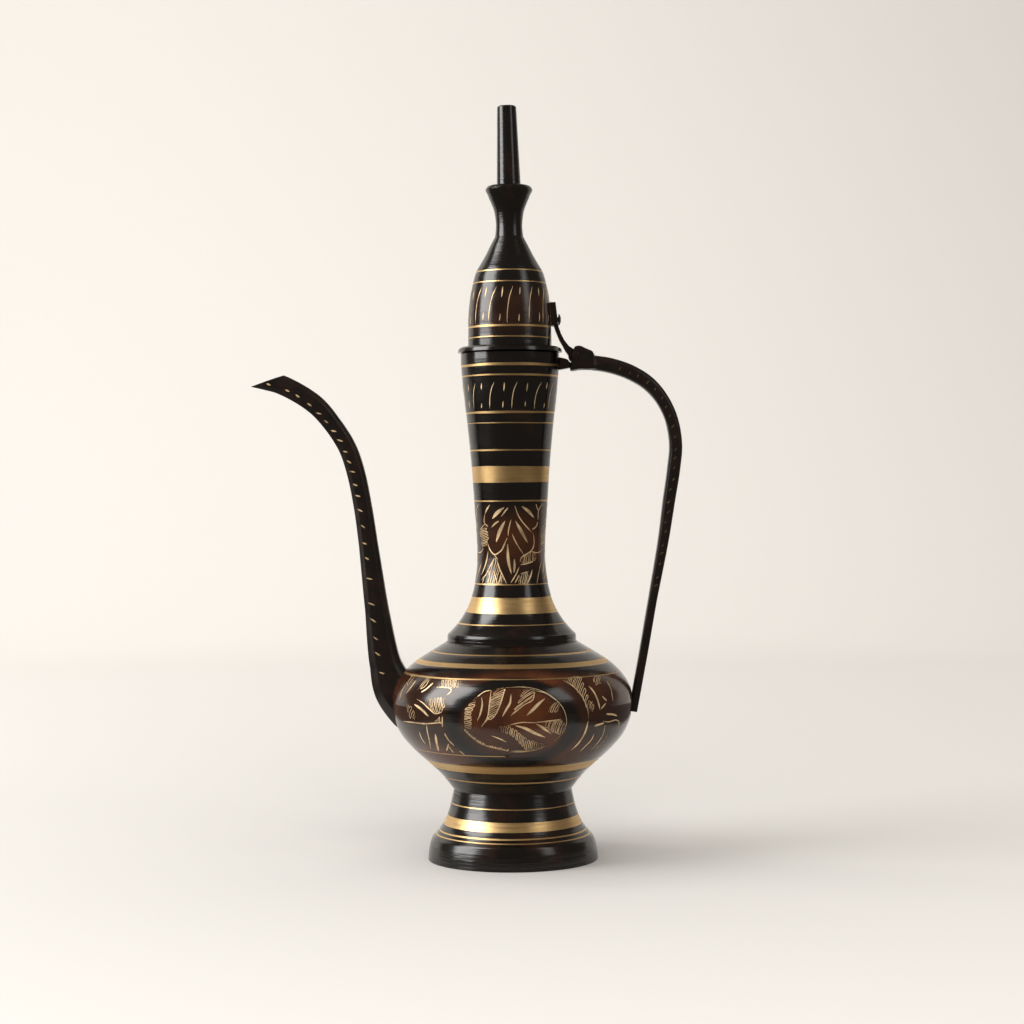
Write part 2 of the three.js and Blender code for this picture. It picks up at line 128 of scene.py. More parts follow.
class EwerFinishSettings(bpy.types.PropertyGroup):
    """Colours of the finishes"""

    lacquer: bpy.props.FloatVectorProperty(
        name="Lacquer", description="Near-black lacquer on the turned walls", subtype="COLOR",
        size=3, default=(0.0022, 0.0016, 0.0012), min=0, max=1)
    # On the belly this colour also paints a highlight and a reflection of the floor
    stain: bpy.props.FloatVectorProperty(
        name="Stain", description="Red-brown of the lacquer where it is thin", subtype="COLOR",
        size=3, default=(0.055, 0.015, 0.004), min=0, max=1)
    casting: bpy.props.FloatVectorProperty(
        name="Casting", description="Black of the cast handle and spout", subtype="COLOR",
        size=3, default=(0.0035, 0.0026, 0.002), min=0, max=1)
    band: bpy.props.FloatVectorProperty(
        name="Band", description="Satin brass of the turned bands", subtype="COLOR",
        size=3, default=(0.68, 0.46, 0.21), min=0, max=1)
    cut: bpy.props.FloatVectorProperty(
        name="Cut", description="Bright brass in the engraved cuts", subtype="COLOR",
        size=3, default=(0.74, 0.54, 0.31), min=0, max=1)


class EwerStageSettings(bpy.types.PropertyGroup):
    """Camera, floor and light"""

    lens: bpy.props.FloatProperty(
        name="Lens", description="Focal length on a 36 mm sensor", default=74.4, unit="CAMERA")
    floor: bpy.props.FloatVectorProperty(
        name="Floor", description="Cream of the floor and backdrop", subtype="COLOR",
        size=3, default=(0.328, 0.323, 0.314), min=0, max=1)
    key_power: bpy.props.FloatProperty(
        name="Key Power", description="Power of the large lamp at the front left",
        default=41.0, unit="POWER")
    fill_power: bpy.props.FloatProperty(
        name="Fill Power", description="Power of the lamp at the right", default=2.2, unit="POWER")


# Outlines of the turned walls

# A point this near to a corner is one, and a slope is measured this far up and down
NEARBY = 0.2 * MM


class Outline:
    """Radius of a turned wall at any height, smooth between its points except at the corners."""

    def __init__(self, points, corners=()):
        self.corners = corners
        self.radii, self.heights = zip(*points)
        heights = self.heights
        slopes = [(end - start) / (above - below)
                  for (start, below), (end, above) in zip(points, points[1:])]
        self.leaving = list(slopes)
        self.arriving = list(slopes)
        for i in range(1, len(slopes)):
            if any(abs(heights[i] - corner) < NEARBY for corner in corners):
                continue
            below = heights[i] - heights[i - 1]
            above = heights[i + 1] - heights[i]
            smooth = (slopes[i - 1] * above + slopes[i] * below) / (above + below)
            self.leaving[i] = smooth
            self.arriving[i - 1] = smooth

    def radius(self, height):
        height = min(max(height, self.heights[0]), self.heights[-1])
        i = max(bisect_left(self.heights, height) - 1, 0)
        span = self.heights[i + 1] - self.heights[i]
        t = (height - self.heights[i]) / span
        start, end = self.radii[i:i + 2]
        return ((1 + 2 * t) * (1 - t) ** 2 * start + t * t * (3 - 2 * t) * end
                + span * t * (1 - t) * ((1 - t) * self.leaving[i] - t * self.arriving[i]))

    def slope(self, height):
        return (self.radius(height + NEARBY) - self.radius(height - NEARBY)) / (2 * NEARBY)


def frame_rings(node, low, high):
    """Outer rings of a turned node between two heights, as (radius, height) from the bottom up."""
    margin = 0.01 * MM
    level_height = 0.02 * MM
    least_gap = 0.1 * MM
    side_angle = 0.3
    least_sides = 18
    least_outward = 0.2
    mesh = NODES[node].data
    levels = {}
    for face in mesh.polygons:
        outward = Vector((face.center.x - AXIS_X, face.center.y, 0)).normalized()
        if face.normal.dot(outward) < least_outward:
            continue
        for corner in face.vertices:
            point = mesh.vertices[corner].co
            if low - margin < point.z < high + margin:
                radius = math.hypot(point.x - AXIS_X, point.y)
                side = round(math.atan2(point.y, point.x - AXIS_X) / side_angle)
                levels.setdefault(round(point.z / level_height), []).append((radius, point.z, side))
    rings = []
    for level in sorted(levels):
        sides = {side for *_, side in levels[level]}
        radius, height, _ = max(levels[level])
        if len(sides) >= least_sides and (not rings or height - rings[-1][1] > least_gap):
            rings.append((radius, height))
    return rings


FOOT_WALL = Outline(frame_rings("foot", 0, WAIST), corners=(7.4 * MM, 10.4 * MM))
BELLY_WALL = Outline(
    frame_rings("lower_bowl", WAIST, SEAM) + frame_rings("upper_bowl", SEAM + NEARBY, SHOULDER))
COLLAR_WALL = Outline(
    frame_rings("shoulder_collar", SHOULDER, NECK_FOOT),
    corners=(NECK_FOOT - 1.6 * MM, NECK_FOOT - 0.4 * MM))
NECK_WALL = Outline(frame_rings("neck_tube", NECK_FOOT, NECK_TOP))
RIM_WALL = Outline(frame_rings("rim_ring", NECK_TOP, RIM_TOP))
DOME_WALL = Outline(frame_rings("lid_dome", RIM_TOP, DOME_TOP))

# The finial's cup: its rounded lip and the edge inside it, as radius and drop in millimetres
CUP_BEND = CUP_TOP - 0.9 * MM
CUP_LIP = ((10.62, 3.4), (11.0, 2.75), (11.2, 2.2), (11.1, 1.5), (10.7, 0.9))
CUP_EDGE = ((10.1, 0.42), (9.3, 0.12), (8.5, 0), (7.9, 0.2), (7.3, 0.9))
CUP_WALL = Outline(
    frame_rings("finial_cup", DOME_TOP, CUP_TOP - 3.8 * MM)
    + [(radius * MM, CUP_TOP - drop * MM) for radius, drop in CUP_LIP])


def wall_point(wall, azimuth, height, lift=0.0):
    """Point on a turned wall. Azimuth 0 faces the front, and a positive one lies to the right."""
    radius = wall.radius(height) - SHY + lift
    return Vector((AXIS_X + radius * math.sin(azimuth), -radius * math.cos(azimuth), height))


def wall_spot(wall, azimuth, height):
    """Point on a turned wall, and the wall's normal there."""
    normal = Vector((math.sin(azimuth), -math.cos(azimuth), -wall.slope(height))).normalized()
    return wall_point(wall, azimuth, height), normal


# Meshes

# Edges stay sharp from these angles on: of turned and swept pieces, of cuts and of castings
SHARP = math.radians(26)
CUT_SHARP = math.radians(50)
CAST_SHARP = math.radians(60)


def smooth(mesh, sharp=SHARP):
    """Smooth shading that keeps the sharp edges."""
    mesh.polygons.foreach_set("use_smooth", [True] * len(mesh.polygons))
    mesh.set_sharp_from_angle(angle=sharp)
    mesh.update()


def add_object(name, mesh):
    mesh.name = name
    piece = bpy.data.objects.new(name, mesh)
    bpy.context.scene.collection.objects.link(piece)
    return piece


def add_piece(name, points, faces, finishes=(), indices=None, sharp=SHARP):
    """Mesh object with its faces turned outward. Its finishes are given by their short names."""
    mesh = bpy.data.meshes.new(name)
    mesh.from_pydata(points, [], faces)
    for short_name in finishes:
        mesh.materials.append(finish(short_name))
    if indices:
        mesh.polygons.foreach_set("material_index", indices)
    shape = bmesh.new()
    shape.from_mesh(mesh)
    bmesh.ops.recalc_face_normals(shape, faces=shape.faces)
    shape.to_mesh(mesh)
    shape.free()
    smooth(mesh, sharp)
    return add_object(name, mesh)


def ring_faces(rings, size, start=0):
    """Faces that join each ring of points to the next."""
    faces = []
    for ring in range(start, start + (rings - 1) * size, size):
        for k in range(size):
            a = ring + k
            b = ring + (k + 1) % size
            faces.append([a, b, b + size, a + size])
    return faces


def add_tube(name, points, size, finishes=()):
    """Piece through rings of points, closed by a flat face at each end."""
    count = len(points)
    ends = [list(range(size)), list(range(count - size, count))]
    return add_piece(name, points, ends + ring_faces(count // size, size), finishes)


def seat(piece, body, node):
    """Rides a piece on its body in place of its node."""
    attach(piece, body)
    if node:
        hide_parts(node)


# A turned band: the height of its middle and its width in millimetres, how far its edges wander,
# and for a line that stops short, the azimuths in degrees between which it was cut
Band = namedtuple("Band", "height width waver arc", defaults=(0.1, None))
Row = namedtuple("Row", "height share band edge", defaults=(0, None, 0))

# Waves of a band's edge: how many go round, how they are shifted, and their share of its wander
WAVES = ((1, 1, 0.6), (3, 2.3, 0.3), (7, 3.1, 0.15))


def plan_rows(wall, low, high, bands):
    """Rows of a turned wall from the bottom up, with four for each band."""
    step = bpy.context.scene.ewer_shell.row_step
    lip = bpy.context.scene.ewer_cuts.band_lip
    clear = 0.3 * MM
    count = max(2, round((high - low) / step))
    plain = [low + (high - low) * i / count for i in range(count + 1)]
    plain += [corner for corner in wall.corners if low + step / 4 < corner < high - step / 4]
    rows = []
    for band in bands:
        bottom = (band.height - band.width / 2) * MM
        top = (band.height + band.width / 2) * MM
        rows += [Row(bottom - lip, 0, band, 0), Row(bottom, 1, band, 0),
                 Row(top, 1, band, 1), Row(top + lip, 0, band, 1)]
        rows += [Row(z, 1, band, 2) for z in plain if bottom + clear < z < top - clear]
        plain = [z for z in plain if z < bottom - lip - clear or z > top + lip + clear]
    return sorted(rows + [Row(z) for z in plain], key=lambda row: row.height)


def waver(row, azimuth):
    """How far a hand-held tool wanders up or down along a band's edge."""
    if row.band is None or row.edge == 2:
        return 0.0
    phase = row.band.height * 1.7 + row.edge * 2.1
    swing = sum(math.sin(turns * azimuth + phase * shift) * share for turns, shift, share in WAVES)
    return row.band.waver * MM * swing


def cut_here(band, azimuth):
    if band.arc is None:
        return True
    return band.arc[0] <= math.degrees(math.remainder(azimuth, math.tau)) <= band.arc[1]


# Finishes of a turned wall: outside, in its bands and inside
PLAIN = ("lacquer", "band", "inside")
RIDGED = ("ridged", "band", "inside")


def turn_wall(name, wall, low, high, inner, bands=(), finishes=PLAIN, marks=0.0, stain=None):
    """Closed turned shell. Its inner points run from the top of the wall down to its bottom.

    The finishes are those of the lacquer, of the bands and of the inside. A point on the axis closes
    the shell there.
    """
    depth = bpy.context.scene.ewer_cuts.band_depth
    columns = bpy.context.scene.ewer_shell.columns
    azimuths = [math.tau * column / columns for column in range(columns)]
    draw = random.Random(name)
    rows = plan_rows(wall, low, high, bands)
    points = []
    rings = []
    stains = []
    for row in rows:
        ridge = draw.uniform(0, marks) if row.band is None else 0.0
        rings.append(len(points))
        for azimuth in azimuths:
            height = row.height + waver(row, azimuth)
            sunk = depth * row.share if row.band and cut_here(row.band, azimuth) else 0.0
            points.append(wall_point(wall, azimuth, height, -sunk - ridge))
            stains.append(stain(azimuth, height) if stain else 0.0)
    for radius, height in inner:
        rings.append(len(points))
        for azimuth in azimuths if radius else (0.0,):
            points.append(Vector((AXIS_X + radius * math.sin(azimuth), -radius * math.cos(azimuth), height)))
            stains.append(0.0)
    sizes = [after - ring for ring, after in zip(rings, rings[1:] + [len(points)])]
    faces = []
    indices = []
    for below in range(len(rings)):
        above = (below + 1) % len(rings)
        if sizes[below] == sizes[above] == 1:
            continue
        outside = below < above < len(rows)
        band = None
        if outside and rows[below].share and rows[above].share and rows[below].band is rows[above].band:
            band = rows[below].band
        for column in range(columns):
            after = (column + 1) % columns
            corners = ((below, column), (below, after), (above, after), (above, column))
            spots = [rings[ring] + spot % sizes[ring] for ring, spot in corners]
            faces.append(list(dict.fromkeys(spots)))
            in_band = band and cut_here(band, math.tau * (column + 0.5) / columns)
            indices.append(1 if in_band else 0 if outside else 2)
    piece = add_piece(name, points, faces, finishes, indices)
    piece.data.attributes.new("stain", "FLOAT", "POINT").data.foreach_set("value", stains)
    return piece


def inner_wall(wall, low, high, thickness, count=14):
    """Points of the inside of a wall, from the top down."""
    heights = [high + (low - high) * i / count for i in range(count + 1)]
    return [(wall.radius(z) - thickness * math.hypot(1, wall.slope(z)), z) for z in heights]


def combine(piece, operation, *tools):
    """Joins the tools to a piece or cuts them out of it, and deletes them."""
    for tool in tools:
        change = piece.modifiers.new("combine", "BOOLEAN")
        change.operation = operation
        change.solver = "EXACT"
        change.object = tool
    bake_modifiers(piece)
    for tool in tools:
        bpy.data.objects.remove(tool)


def bake_modifiers(piece):
    bpy.context.view_layer.update()
    graph = bpy.context.evaluated_depsgraph_get()
    old = piece.data
    name = old.name
    piece.data = bpy.data.meshes.new_from_object(piece.evaluated_get(graph))
    piece.modifiers.clear()
    bpy.data.meshes.remove(old)
    piece.data.name = name


# Swept bars: the spout and the handle's strap. Stations are (x, z, depth, width, outer chamfer)
# in millimetres from the vessel's axis, and the outer side lies to the left of the way they run.

SPOUT_STATIONS = (
    (-40, 68, 25, 16, 5), (-48, 73, 24, 16, 5), (-55.5, 81, 20, 14.5, 4), (-59.7, 92, 14.8, 12.6, 3.2),
    (-63.7, 118.6, 11, 10, 2.3), (-67.5, 149.2, 8.9, 8.4, 1.9), (-69.9, 166.4, 8.5, 8, 1.8),
    (-73.1, 182.6, 8.5, 7.9, 1.8), (-77, 194.3, 8.4, 7.9, 1.9), (-83.9, 205.4, 8.4, 7.9, 2.1),
    (-92.6, 215.2, 9.2, 8.1, 2.6), (-107.6, 224.1, 9.2, 8.2, 4), (-116.1, 226.2, 8.3, 8.2, 4.2),
    (-125, 228.1, 8, 8.2, 4.2),
)
SPOUT_CHAMFER = 0.22
SPOUT_WALL = 1.3
SPOUT_BORE_ROOT = ((-46, 82, 8, 7.4, 2), (-54, 84, 8, 7.4, 2))
BEAK_TIP = (-122.08, 223.4)
BEAK_HEEL = (-106.4, 228.7)

HANDLE_STATIONS = (
    (37, 234, 6.8, 9.6, 1.4), (47.2, 232.4, 6.9, 9.4, 1.5), (56.7, 229.1, 6.9, 9.2, 1.5),
    (65.1, 223.9, 6.6, 9, 1.4), (71.2, 217, 6.1, 8.8, 1.3), (75.9, 207.4, 5.9, 8.6, 1.2),
    (77.95, 195, 6.0, 8.4, 1.2), (76.9, 182.9, 6, 8.2, 1.2), (74.7, 168.8, 5.7, 8, 1.1),
    (71.9, 149.9, 5, 7.6, 1), (66.6, 121.5, 4.1, 7, 0.8), (62.4, 97.9, 4.1, 6.6, 0.8),
    (58.9, 79, 4, 7, 0.8), (57.2, 69.1, 3.6, 7.4, 0.7),
)
HANDLE_CHAMFER = 0.16
STRAP_START = 38.9
CLEVIS_END = 41.5

# Heights of the nicks along the spout, in millimetres

SPOUT_NICKS = (
    88.2, 97.1, 104.5, 113, 120.8, 132.6, 142.1, 149.2, 157.2, 164.8, 171.6, 176.8, 183, 187.7, 192.5,
    197.7, 202.2, 206.7, 210.7, 214.8, 218.6, 221.2, 224.3,
)


Section = namedtuple("Section", "centre outward depth width chamfer")


def neighbours(points, i):
    """Points i and i + 1 with one on each side, which past an end is a mirrored one."""
    b, c = points[i], points[i + 1]
    a = points[i - 1] if i else b * 2 - c
    d = points[i + 2] if i + 2 < len(points) else c * 2 - b
    return a, b, c, d


class Sweep:
    """Smooth way through a row of stations, on which the section's sizes change as well."""

    def __init__(self, stations):
        self.rows = [Vector((x * MM, 0, z * MM)) for x, z, *_ in stations]
        self.sizes = [Vector([size * MM for size in station[2:]]) for station in stations]
        self.last = len(stations) - 1

    def span(self, t):
        """Station before a share of the way, and the share from there to the next."""
        i = min(int(t * self.last), self.last - 1)
        return i, t * self.last - i

    def place(self, t):
        """Point at a share of the way, on a spline whose pace follows the stations' spacing."""
        i, s = self.span(t)
        a, b, c, d = neighbours(self.rows, i)
        before, here, after = (max((q - p).length ** 0.5, 1e-9) for p, q in ((a, b), (b, c), (c, d)))
        leave = ((b - a) / before - (c - a) / (before + here) + (c - b) / here) * here
        arrive = ((c - b) / here - (d - b) / (here + after) + (d - c) / after) * here
        return (b * (2 * s ** 3 - 3 * s * s + 1) + leave * (s ** 3 - 2 * s * s + s)
                + c * (3 * s * s - 2 * s ** 3) + arrive * (s ** 3 - s * s))

    def section(self, t):
        reach = 0.002
        along = (self.place(min(t + reach, 1)) - self.place(max(t - reach, 0))).normalized()
        i, s = self.span(t)
        sizes = self.sizes[i].lerp(self.sizes[i + 1], s)
        return Section(self.place(t) + Vector((AXIS_X, 0, 0)), Vector((-along.z, 0, along.x)), *sizes)

    def at_height(self, height, out):
        """Section of a rising bar whose point, at a share of its depth from the middle, is this high."""
        low, high = 0.0, 1.0
        for _ in range(24):
            middle = (low + high) / 2
            section = self.section(middle)
            if (section.centre + section.outward * out * section.depth).z < height:
                low = middle
            else:
                high = middle
        return self.section(low)

    def at_distance(self, distance):
        """Section at a distance along the way."""
        steps = 300
        gone = 0.0
        for step in range(1, steps + 1):
            gone += (self.place(step / steps) - self.place((step - 1) / steps)).length
            if gone >= distance:
                return self.section(step / steps)
        return self.section(1.0)


def section_corners(section, inner_share, rounding):
    """Corners of a chamfered section, each rounded by three points, as (outward, y) pairs."""
    depth, width, chamfer = section.depth, section.width, section.chamfer
    side = inner_share * width
    inner = inner_share * depth
    most = 0.45
    corners = [
        (depth / 2, width / 2 - side), (depth / 2, side - width / 2), (depth / 2 - chamfer, -width / 2),
        (inner - depth / 2, -width / 2), (-depth / 2, side - width / 2), (-depth / 2, width / 2 - side),
        (inner - depth / 2, width / 2), (depth / 2 - chamfer, width / 2),
    ]
    points = []
    for i, corner in enumerate(corners):
        here = Vector(corner)
        to_last = Vector(corners[i - 1]) - here
        to_next = Vector(corners[(i + 1) % len(corners)]) - here
        start = here + to_last.normalized() * min(rounding, to_last.length * most)
        end = here + to_next.normalized() * min(rounding, to_next.length * most)
        points += [start, (start + end) / 4 + here / 2, end]
    return points


def sweep_bar(name, stations, steps, inner_share, rounding, short_name):
    sweep = Sweep(stations)
    points = []
    for step in range(steps + 1):
        section = sweep.section(step / steps)
        for out, across in section_corners(section, inner_share, rounding):
            points.append(section.centre + section.outward * out + Vector((0, across, 0)))
    return add_tube(name, points, len(points) // (steps + 1), [short_name])


def belly_plug():
    """Solid inside of the belly, used to cut what stands against its wall."""
    columns = bpy.context.scene.ewer_shell.columns
    count = 40
    shrink = 0.6 * MM
    points = []
    for i in range(count + 1):
        height = WAIST + (SHOULDER - WAIST) * i / count
        points += [wall_point(BELLY_WALL, math.tau * k / columns, height, -shrink) for k in range(columns)]
    return add_tube("belly", points, columns)


def wedge(name, outline, width):
    """Plate with an (x, z) outline in millimetres from the axis, across the middle plane."""
    half = width / 2 * MM
    points = [Vector((AXIS_X + x * MM, side * half, z * MM)) for side in (-1, 1) for x, z in outline]
    return add_tube(name, points, len(outline))


# Engraved cuts

class CutBed:
    """Collects the cuts of one zone, each a thin closed sliver with a hollow face."""

    def __init__(self, wall=None, centre=(0, 0)):
        self.wall = wall
        self.centre = centre
        self.points = []
        self.faces = []

    def add(self, spots, width, shape):
        """Adds one cut along (point, normal) spots. Its shape gives the share of its width on the way."""
        settings = bpy.context.scene.ewer_cuts
        sill = 0.3
        start = len(self.points)
        last = len(spots) - 1
        for i, (point, normal) in enumerate(spots):
            along = spots[min(i + 1, last)][0] - spots[max(i - 1, 0)][0]
            across = normal.cross(along).normalized() * (width * shape(i / last) / 2)
            self.points += [
                point - across + normal * settings.burr, point + normal * settings.burr * sill,
                point + across + normal * settings.burr, point - normal * settings.depth]
        self.faces += ring_faces(last + 1, 4, start)
        for end in (start, start + 4 * last):
            self.faces.append([end, end + 1, end + 2, end + 3])

    def trace(self, places, width, shape):
        """Adds one cut through (azimuth, height) places on the wall."""
        radius = self.wall.radius(places[0][1])
        step = bpy.context.scene.ewer_cuts.step
        path = smooth_path([(azimuth * radius, height) for azimuth, height in places], step)
        self.add([wall_spot(self.wall, spot.x / radius, spot.y) for spot in path], width, shape)

    def stencil(self, strokes, turn, shape):
        """Cuts the strokes of a stencil, given as (width, points) round its centre, at a turned azimuth."""
        step = bpy.context.scene.ewer_cuts.step / STENCIL_UNIT
        for width, points in strokes:
            spots = []
            for spot in smooth_path(points, step):
                azimuth, height = lay_stencil(self.wall, self.centre[0] + spot.x, self.centre[1] + spot.y)
                spots.append(wall_spot(self.wall, azimuth + turn, height))
            self.add(spots, width * STENCIL_UNIT, shape)

    def hatches(self, patches, turn, draw):
        """Fills the patches of a stencil, given as (lean, spacing, outline), with rocked hatching."""
        closer = 0.8
        reach = 3
        width = bpy.context.scene.ewer_cuts.hatch_width / STENCIL_UNIT
        for lean, spacing, outline in patches:
            runs = rock(hatch(outline, lean, spacing * closer, draw), spacing * reach)
            self.stencil([(width, run) for run in runs], turn, needle)

    def nick(self, section, out, slant, length, width):
        """Adds one nick on both flats of a swept bar. Its slant is in degrees above the horizontal."""
        direction = Vector((math.cos(math.radians(slant)), 0, math.sin(math.radians(slant))))
        centre = section.centre + section.outward * out * section.depth
        for side in (-1, 1):
            normal = Vector((0, side, 0))
            face = centre + normal * section.width / 2
            spots = [(face + direction * length * (t - 0.5), normal) for t in (0, 0.25, 0.5, 0.75, 1)]
            self.add(spots, width, almond)

    def close(self, name, body, short_name="cut"):
        """Makes one piece of the cuts."""
        piece = add_piece(name, self.points, self.faces, [short_name], sharp=CUT_SHARP)
        seat(piece, body, None)


def smooth_path(points, step):
    """Evenly spaced points of a smooth curve through a few points, each a tuple of any length."""
    spots = [Vector(point) for point in points]
    if len(spots) == 2:
        spots = [spots[0], (spots[0] + spots[1]) / 2, spots[1]]
    path = []
    for i in range(len(spots) - 1):
        a, b, c, d = neighbours(spots, i)
        count = max(1, math.ceil((c - b).length / step))
        for k in range(count):
            t = k / count
            path.append((b * 2 + (c - a) * t + (a * 2 - b * 5 + c * 4 - d) * t * t
                         + (b * 3 - a - c * 3 + d) * t ** 3) / 2)
    path.append(spots[-1])
    return path


def almond(t):
    """Width of a cut that swells to its middle, as a share."""
    return max(0.1, math.sin(math.pi * t) ** 0.75)


def needle(t):
    """Width of an even cut with tapered ends, as a share."""
    return max(0.25, min(1, t * 6, (1 - t) * 6))


def lay_stencil(wall, right, up):
    """Azimuth and height on a wall where a point of the stencil falls, in units from axis and eye."""
    height = EYE_HEIGHT + up * STENCIL_UNIT
    azimuth = 0.0
    edge = 0.99
    tries = 8
    for _ in range(tries):
        radius = wall.radius(height)
        nearness = 1 - radius * math.cos(azimuth) / EYE_DISTANCE
        azimuth = math.asin(min(max(right * STENCIL_UNIT * nearness / radius, -edge), edge))
        height = EYE_HEIGHT + up * STENCIL_UNIT * nearness
    return azimuth, height


def hatch(outline, lean, spacing, draw):
    """Jittered strokes that fill an outline, each as its start, its bow and its end.

    The strokes lie side by side and lean by some degrees.
    """
    shortest = 1.2
    jitter = 0.5
    along = Vector((math.cos(math.radians(lean)), math.sin(math.radians(lean))))
    across = Vector((-along.y, along.x))
    corners = [Vector(corner) for corner in outline]
    places = [corner.dot(across) for corner in corners]
    strokes = []
    place = min(places) + spacing / 2
    while place < max(places):
        crossings = []
        for a, b in zip(corners, corners[1:] + corners[:1]):
            low, high = a.dot(across), b.dot(across)
            if (low - place) * (high - place) < 0:
                share = (place - low) / (high - low)
                crossings.append(a.lerp(b, share).dot(along))
        crossings.sort()
        for start, end in zip(crossings[::2], crossings[1::2]):
            if end - start > shortest:
                start += draw.uniform(-jitter, jitter)
                end += draw.uniform(-jitter, jitter)
                bow = along * ((start + end) / 2) + across * (place + draw.uniform(0.1, 0.8))
                strokes.append((along * start + across * place, bow, along * end + across * place))
        place += spacing * draw.uniform(0.75, 1.25)
    return strokes


def rock(lines, reach):
    """Joins neighbouring strokes at alternate ends, as a rocked graver leaves them."""
    runs = []
    for count, line in enumerate(lines):
        start, middle, end = line if count % 2 else reversed(line)
        if runs and (start - runs[-1][-1]).length < reach:
            runs[-1] += [start, middle, end]
        else:
            runs.append([start, middle, end])
    return runs


def draw_hooks(bed, low, high, first, tilt, draw):
    """Long hooked strokes round a wall, with a broken pair of short ones between each two."""
    span = high - low
    count = 13
    hook_width = 0.36 * MM
    upper_width = 0.62 * MM
    lower_width = 0.5 * MM
    for i in range(count):
        start = first + math.tau * (i + draw.uniform(-0.08, 0.08)) / count
        bend = tilt * draw.uniform(0.85, 1.15)
        hook = [(start - bend * 0.5, low + span * 0.02), (start - bend * 0.42, low + span * 0.35),
                (start - bend * 0.1, low + span * 0.7), (start + bend * 0.5, high - span * 0.02)]
        bed.trace(hook, hook_width, needle)
        middle = start + math.pi / count * draw.uniform(0.85, 1.15)
        top = high - span * draw.uniform(0, 0.06)
        length = span * draw.uniform(0.2, 0.34)
        bed.trace([(middle + bend * 0.2, top), (middle + bend * 0.05, top - length)], upper_width, almond)
        bottom = low + span * draw.uniform(0.03, 0.1)
        length = span * draw.uniform(0.18, 0.32)
        short = [(middle - bend * 0.1, bottom + length), (middle - bend * 0.2, bottom)]
        bed.trace(short, lower_width, almond)


def wriggle(points, draw):
    """Short rocked strokes, side by side along a line."""
    spacing = 1.6
    width = 0.9
    lean = 0.9
    strokes = []
    for spot in smooth_path(points, spacing):
        length = draw.uniform(1.4, 3.0)
        strokes.append((width, ((spot.x, spot.y), (spot.x + lean, spot.y + length))))
    return strokes


# Foliage of the neck, in stencil units round the middle of its leaf

LEAF_CENTRE = (-1, -55)
LEAF_ALMONDS = (
    (3.5, ((-6, 37.5), (-13, 32), (-18, 26))), (3.5, ((-5, 24), (-10, 14.5), (-14, 3))),
    (3.0, ((12, 38.5), (18.5, 33.5), (24, 27))), (3.2, ((5.5, 24), (11, 14), (17.5, 2))),
    (2.8, ((-2.5, 1), (-2, -15), (1, -29))), (2.2, ((4, -14), (4.3, -21), (3.5, -28))),
    (1.5, ((-20, 40.5), (-23, 36), (-25, 31))), (1.7, ((-11, 24), (-15.5, 21), (-18.5, 17.5))),
    (1.3, ((-1.5, 37.5), (-5, 33.5), (-9, 28))), (1.6, ((22, -25), (20, -32), (17, -39))),
    (1.6, ((-22, -6), (-23.5, -15), (-26, -23), (-29, -30))),
)
LEAF_LINES = (
    (1.1, ((5, 39), (8.5, 29), (14, 21), (22, 12))), (1.0, ((1, 25), (-1.5, 15), (-2, 9))),
    (1.0, ((2, 11), (6, 2), (13.5, -10))),
    (1.1, ((-3, 7), (-6.5, -1), (-8.5, -5), (-12, -8), (-16, -9.5), (-20, -5), (-22.5, 2))),
    (0.9, ((-16, -9.5), (-12.5, -15))), (1.0, ((33, 41), (29, 35), (28, 25))), (0.9, ((26, 41), (28, 34))),
    (1.0, ((28, 23), (26, 18), (22, 15))),
    (1.1, ((23, 12), (24, 4), (23, -3), (20, -7), (15, -10), (11, -13), (10, -17))),
    (0.9, ((21, -6.5), (26, -8), (30, -7), (32, -4))), (0.9, ((10, -20), (16, -19), (23, -17))),
    (1.1, ((9, -22), (6, -29), (0.5, -38))), (0.8, ((10, -29), (18, -27))), (0.9, ((9, -30), (4.5, -38.5))),
    (1.0, ((31, -17), (28.5, -28), (26.5, -39))), (0.9, ((-30, 15), (-25, 21), (-22, 18))),
    (0.9, ((-25, 31), (-26, 25), (-25.5, 21))), (1.1, ((-13.5, -15), (-11, -23), (-8, -30), (-4, -38.5))),
    (1.0, ((-16, -13), (-20, -21), (-24, -29), (-29, -35))),
    (0.8, ((-17, -25), (-15, -32), (-12.5, -39), (-10, -34), (-8.5, -31))),
    (0.8, ((-22, -23), (-21, -32), (-23, -38))),
)
LEAF_PATCHES = (
    (20, 2.0, ((-30, 14), (-24, 19), (-22, 10), (-23, 0), (-28, -5))),
    (75, 2.6, ((-16, -13), (-4, -39), (-29, -38))),
    (85, 2.2, ((11, -13), (21, -7), (27, -8), (25, -16), (11, -19))),
    (80, 2.2, ((10, -30), (18, -28), (19, -33), (17, -39), (7, -39))),
)

# Oval leaf of the belly and the foliage on both sides of it, in stencil units round the oval

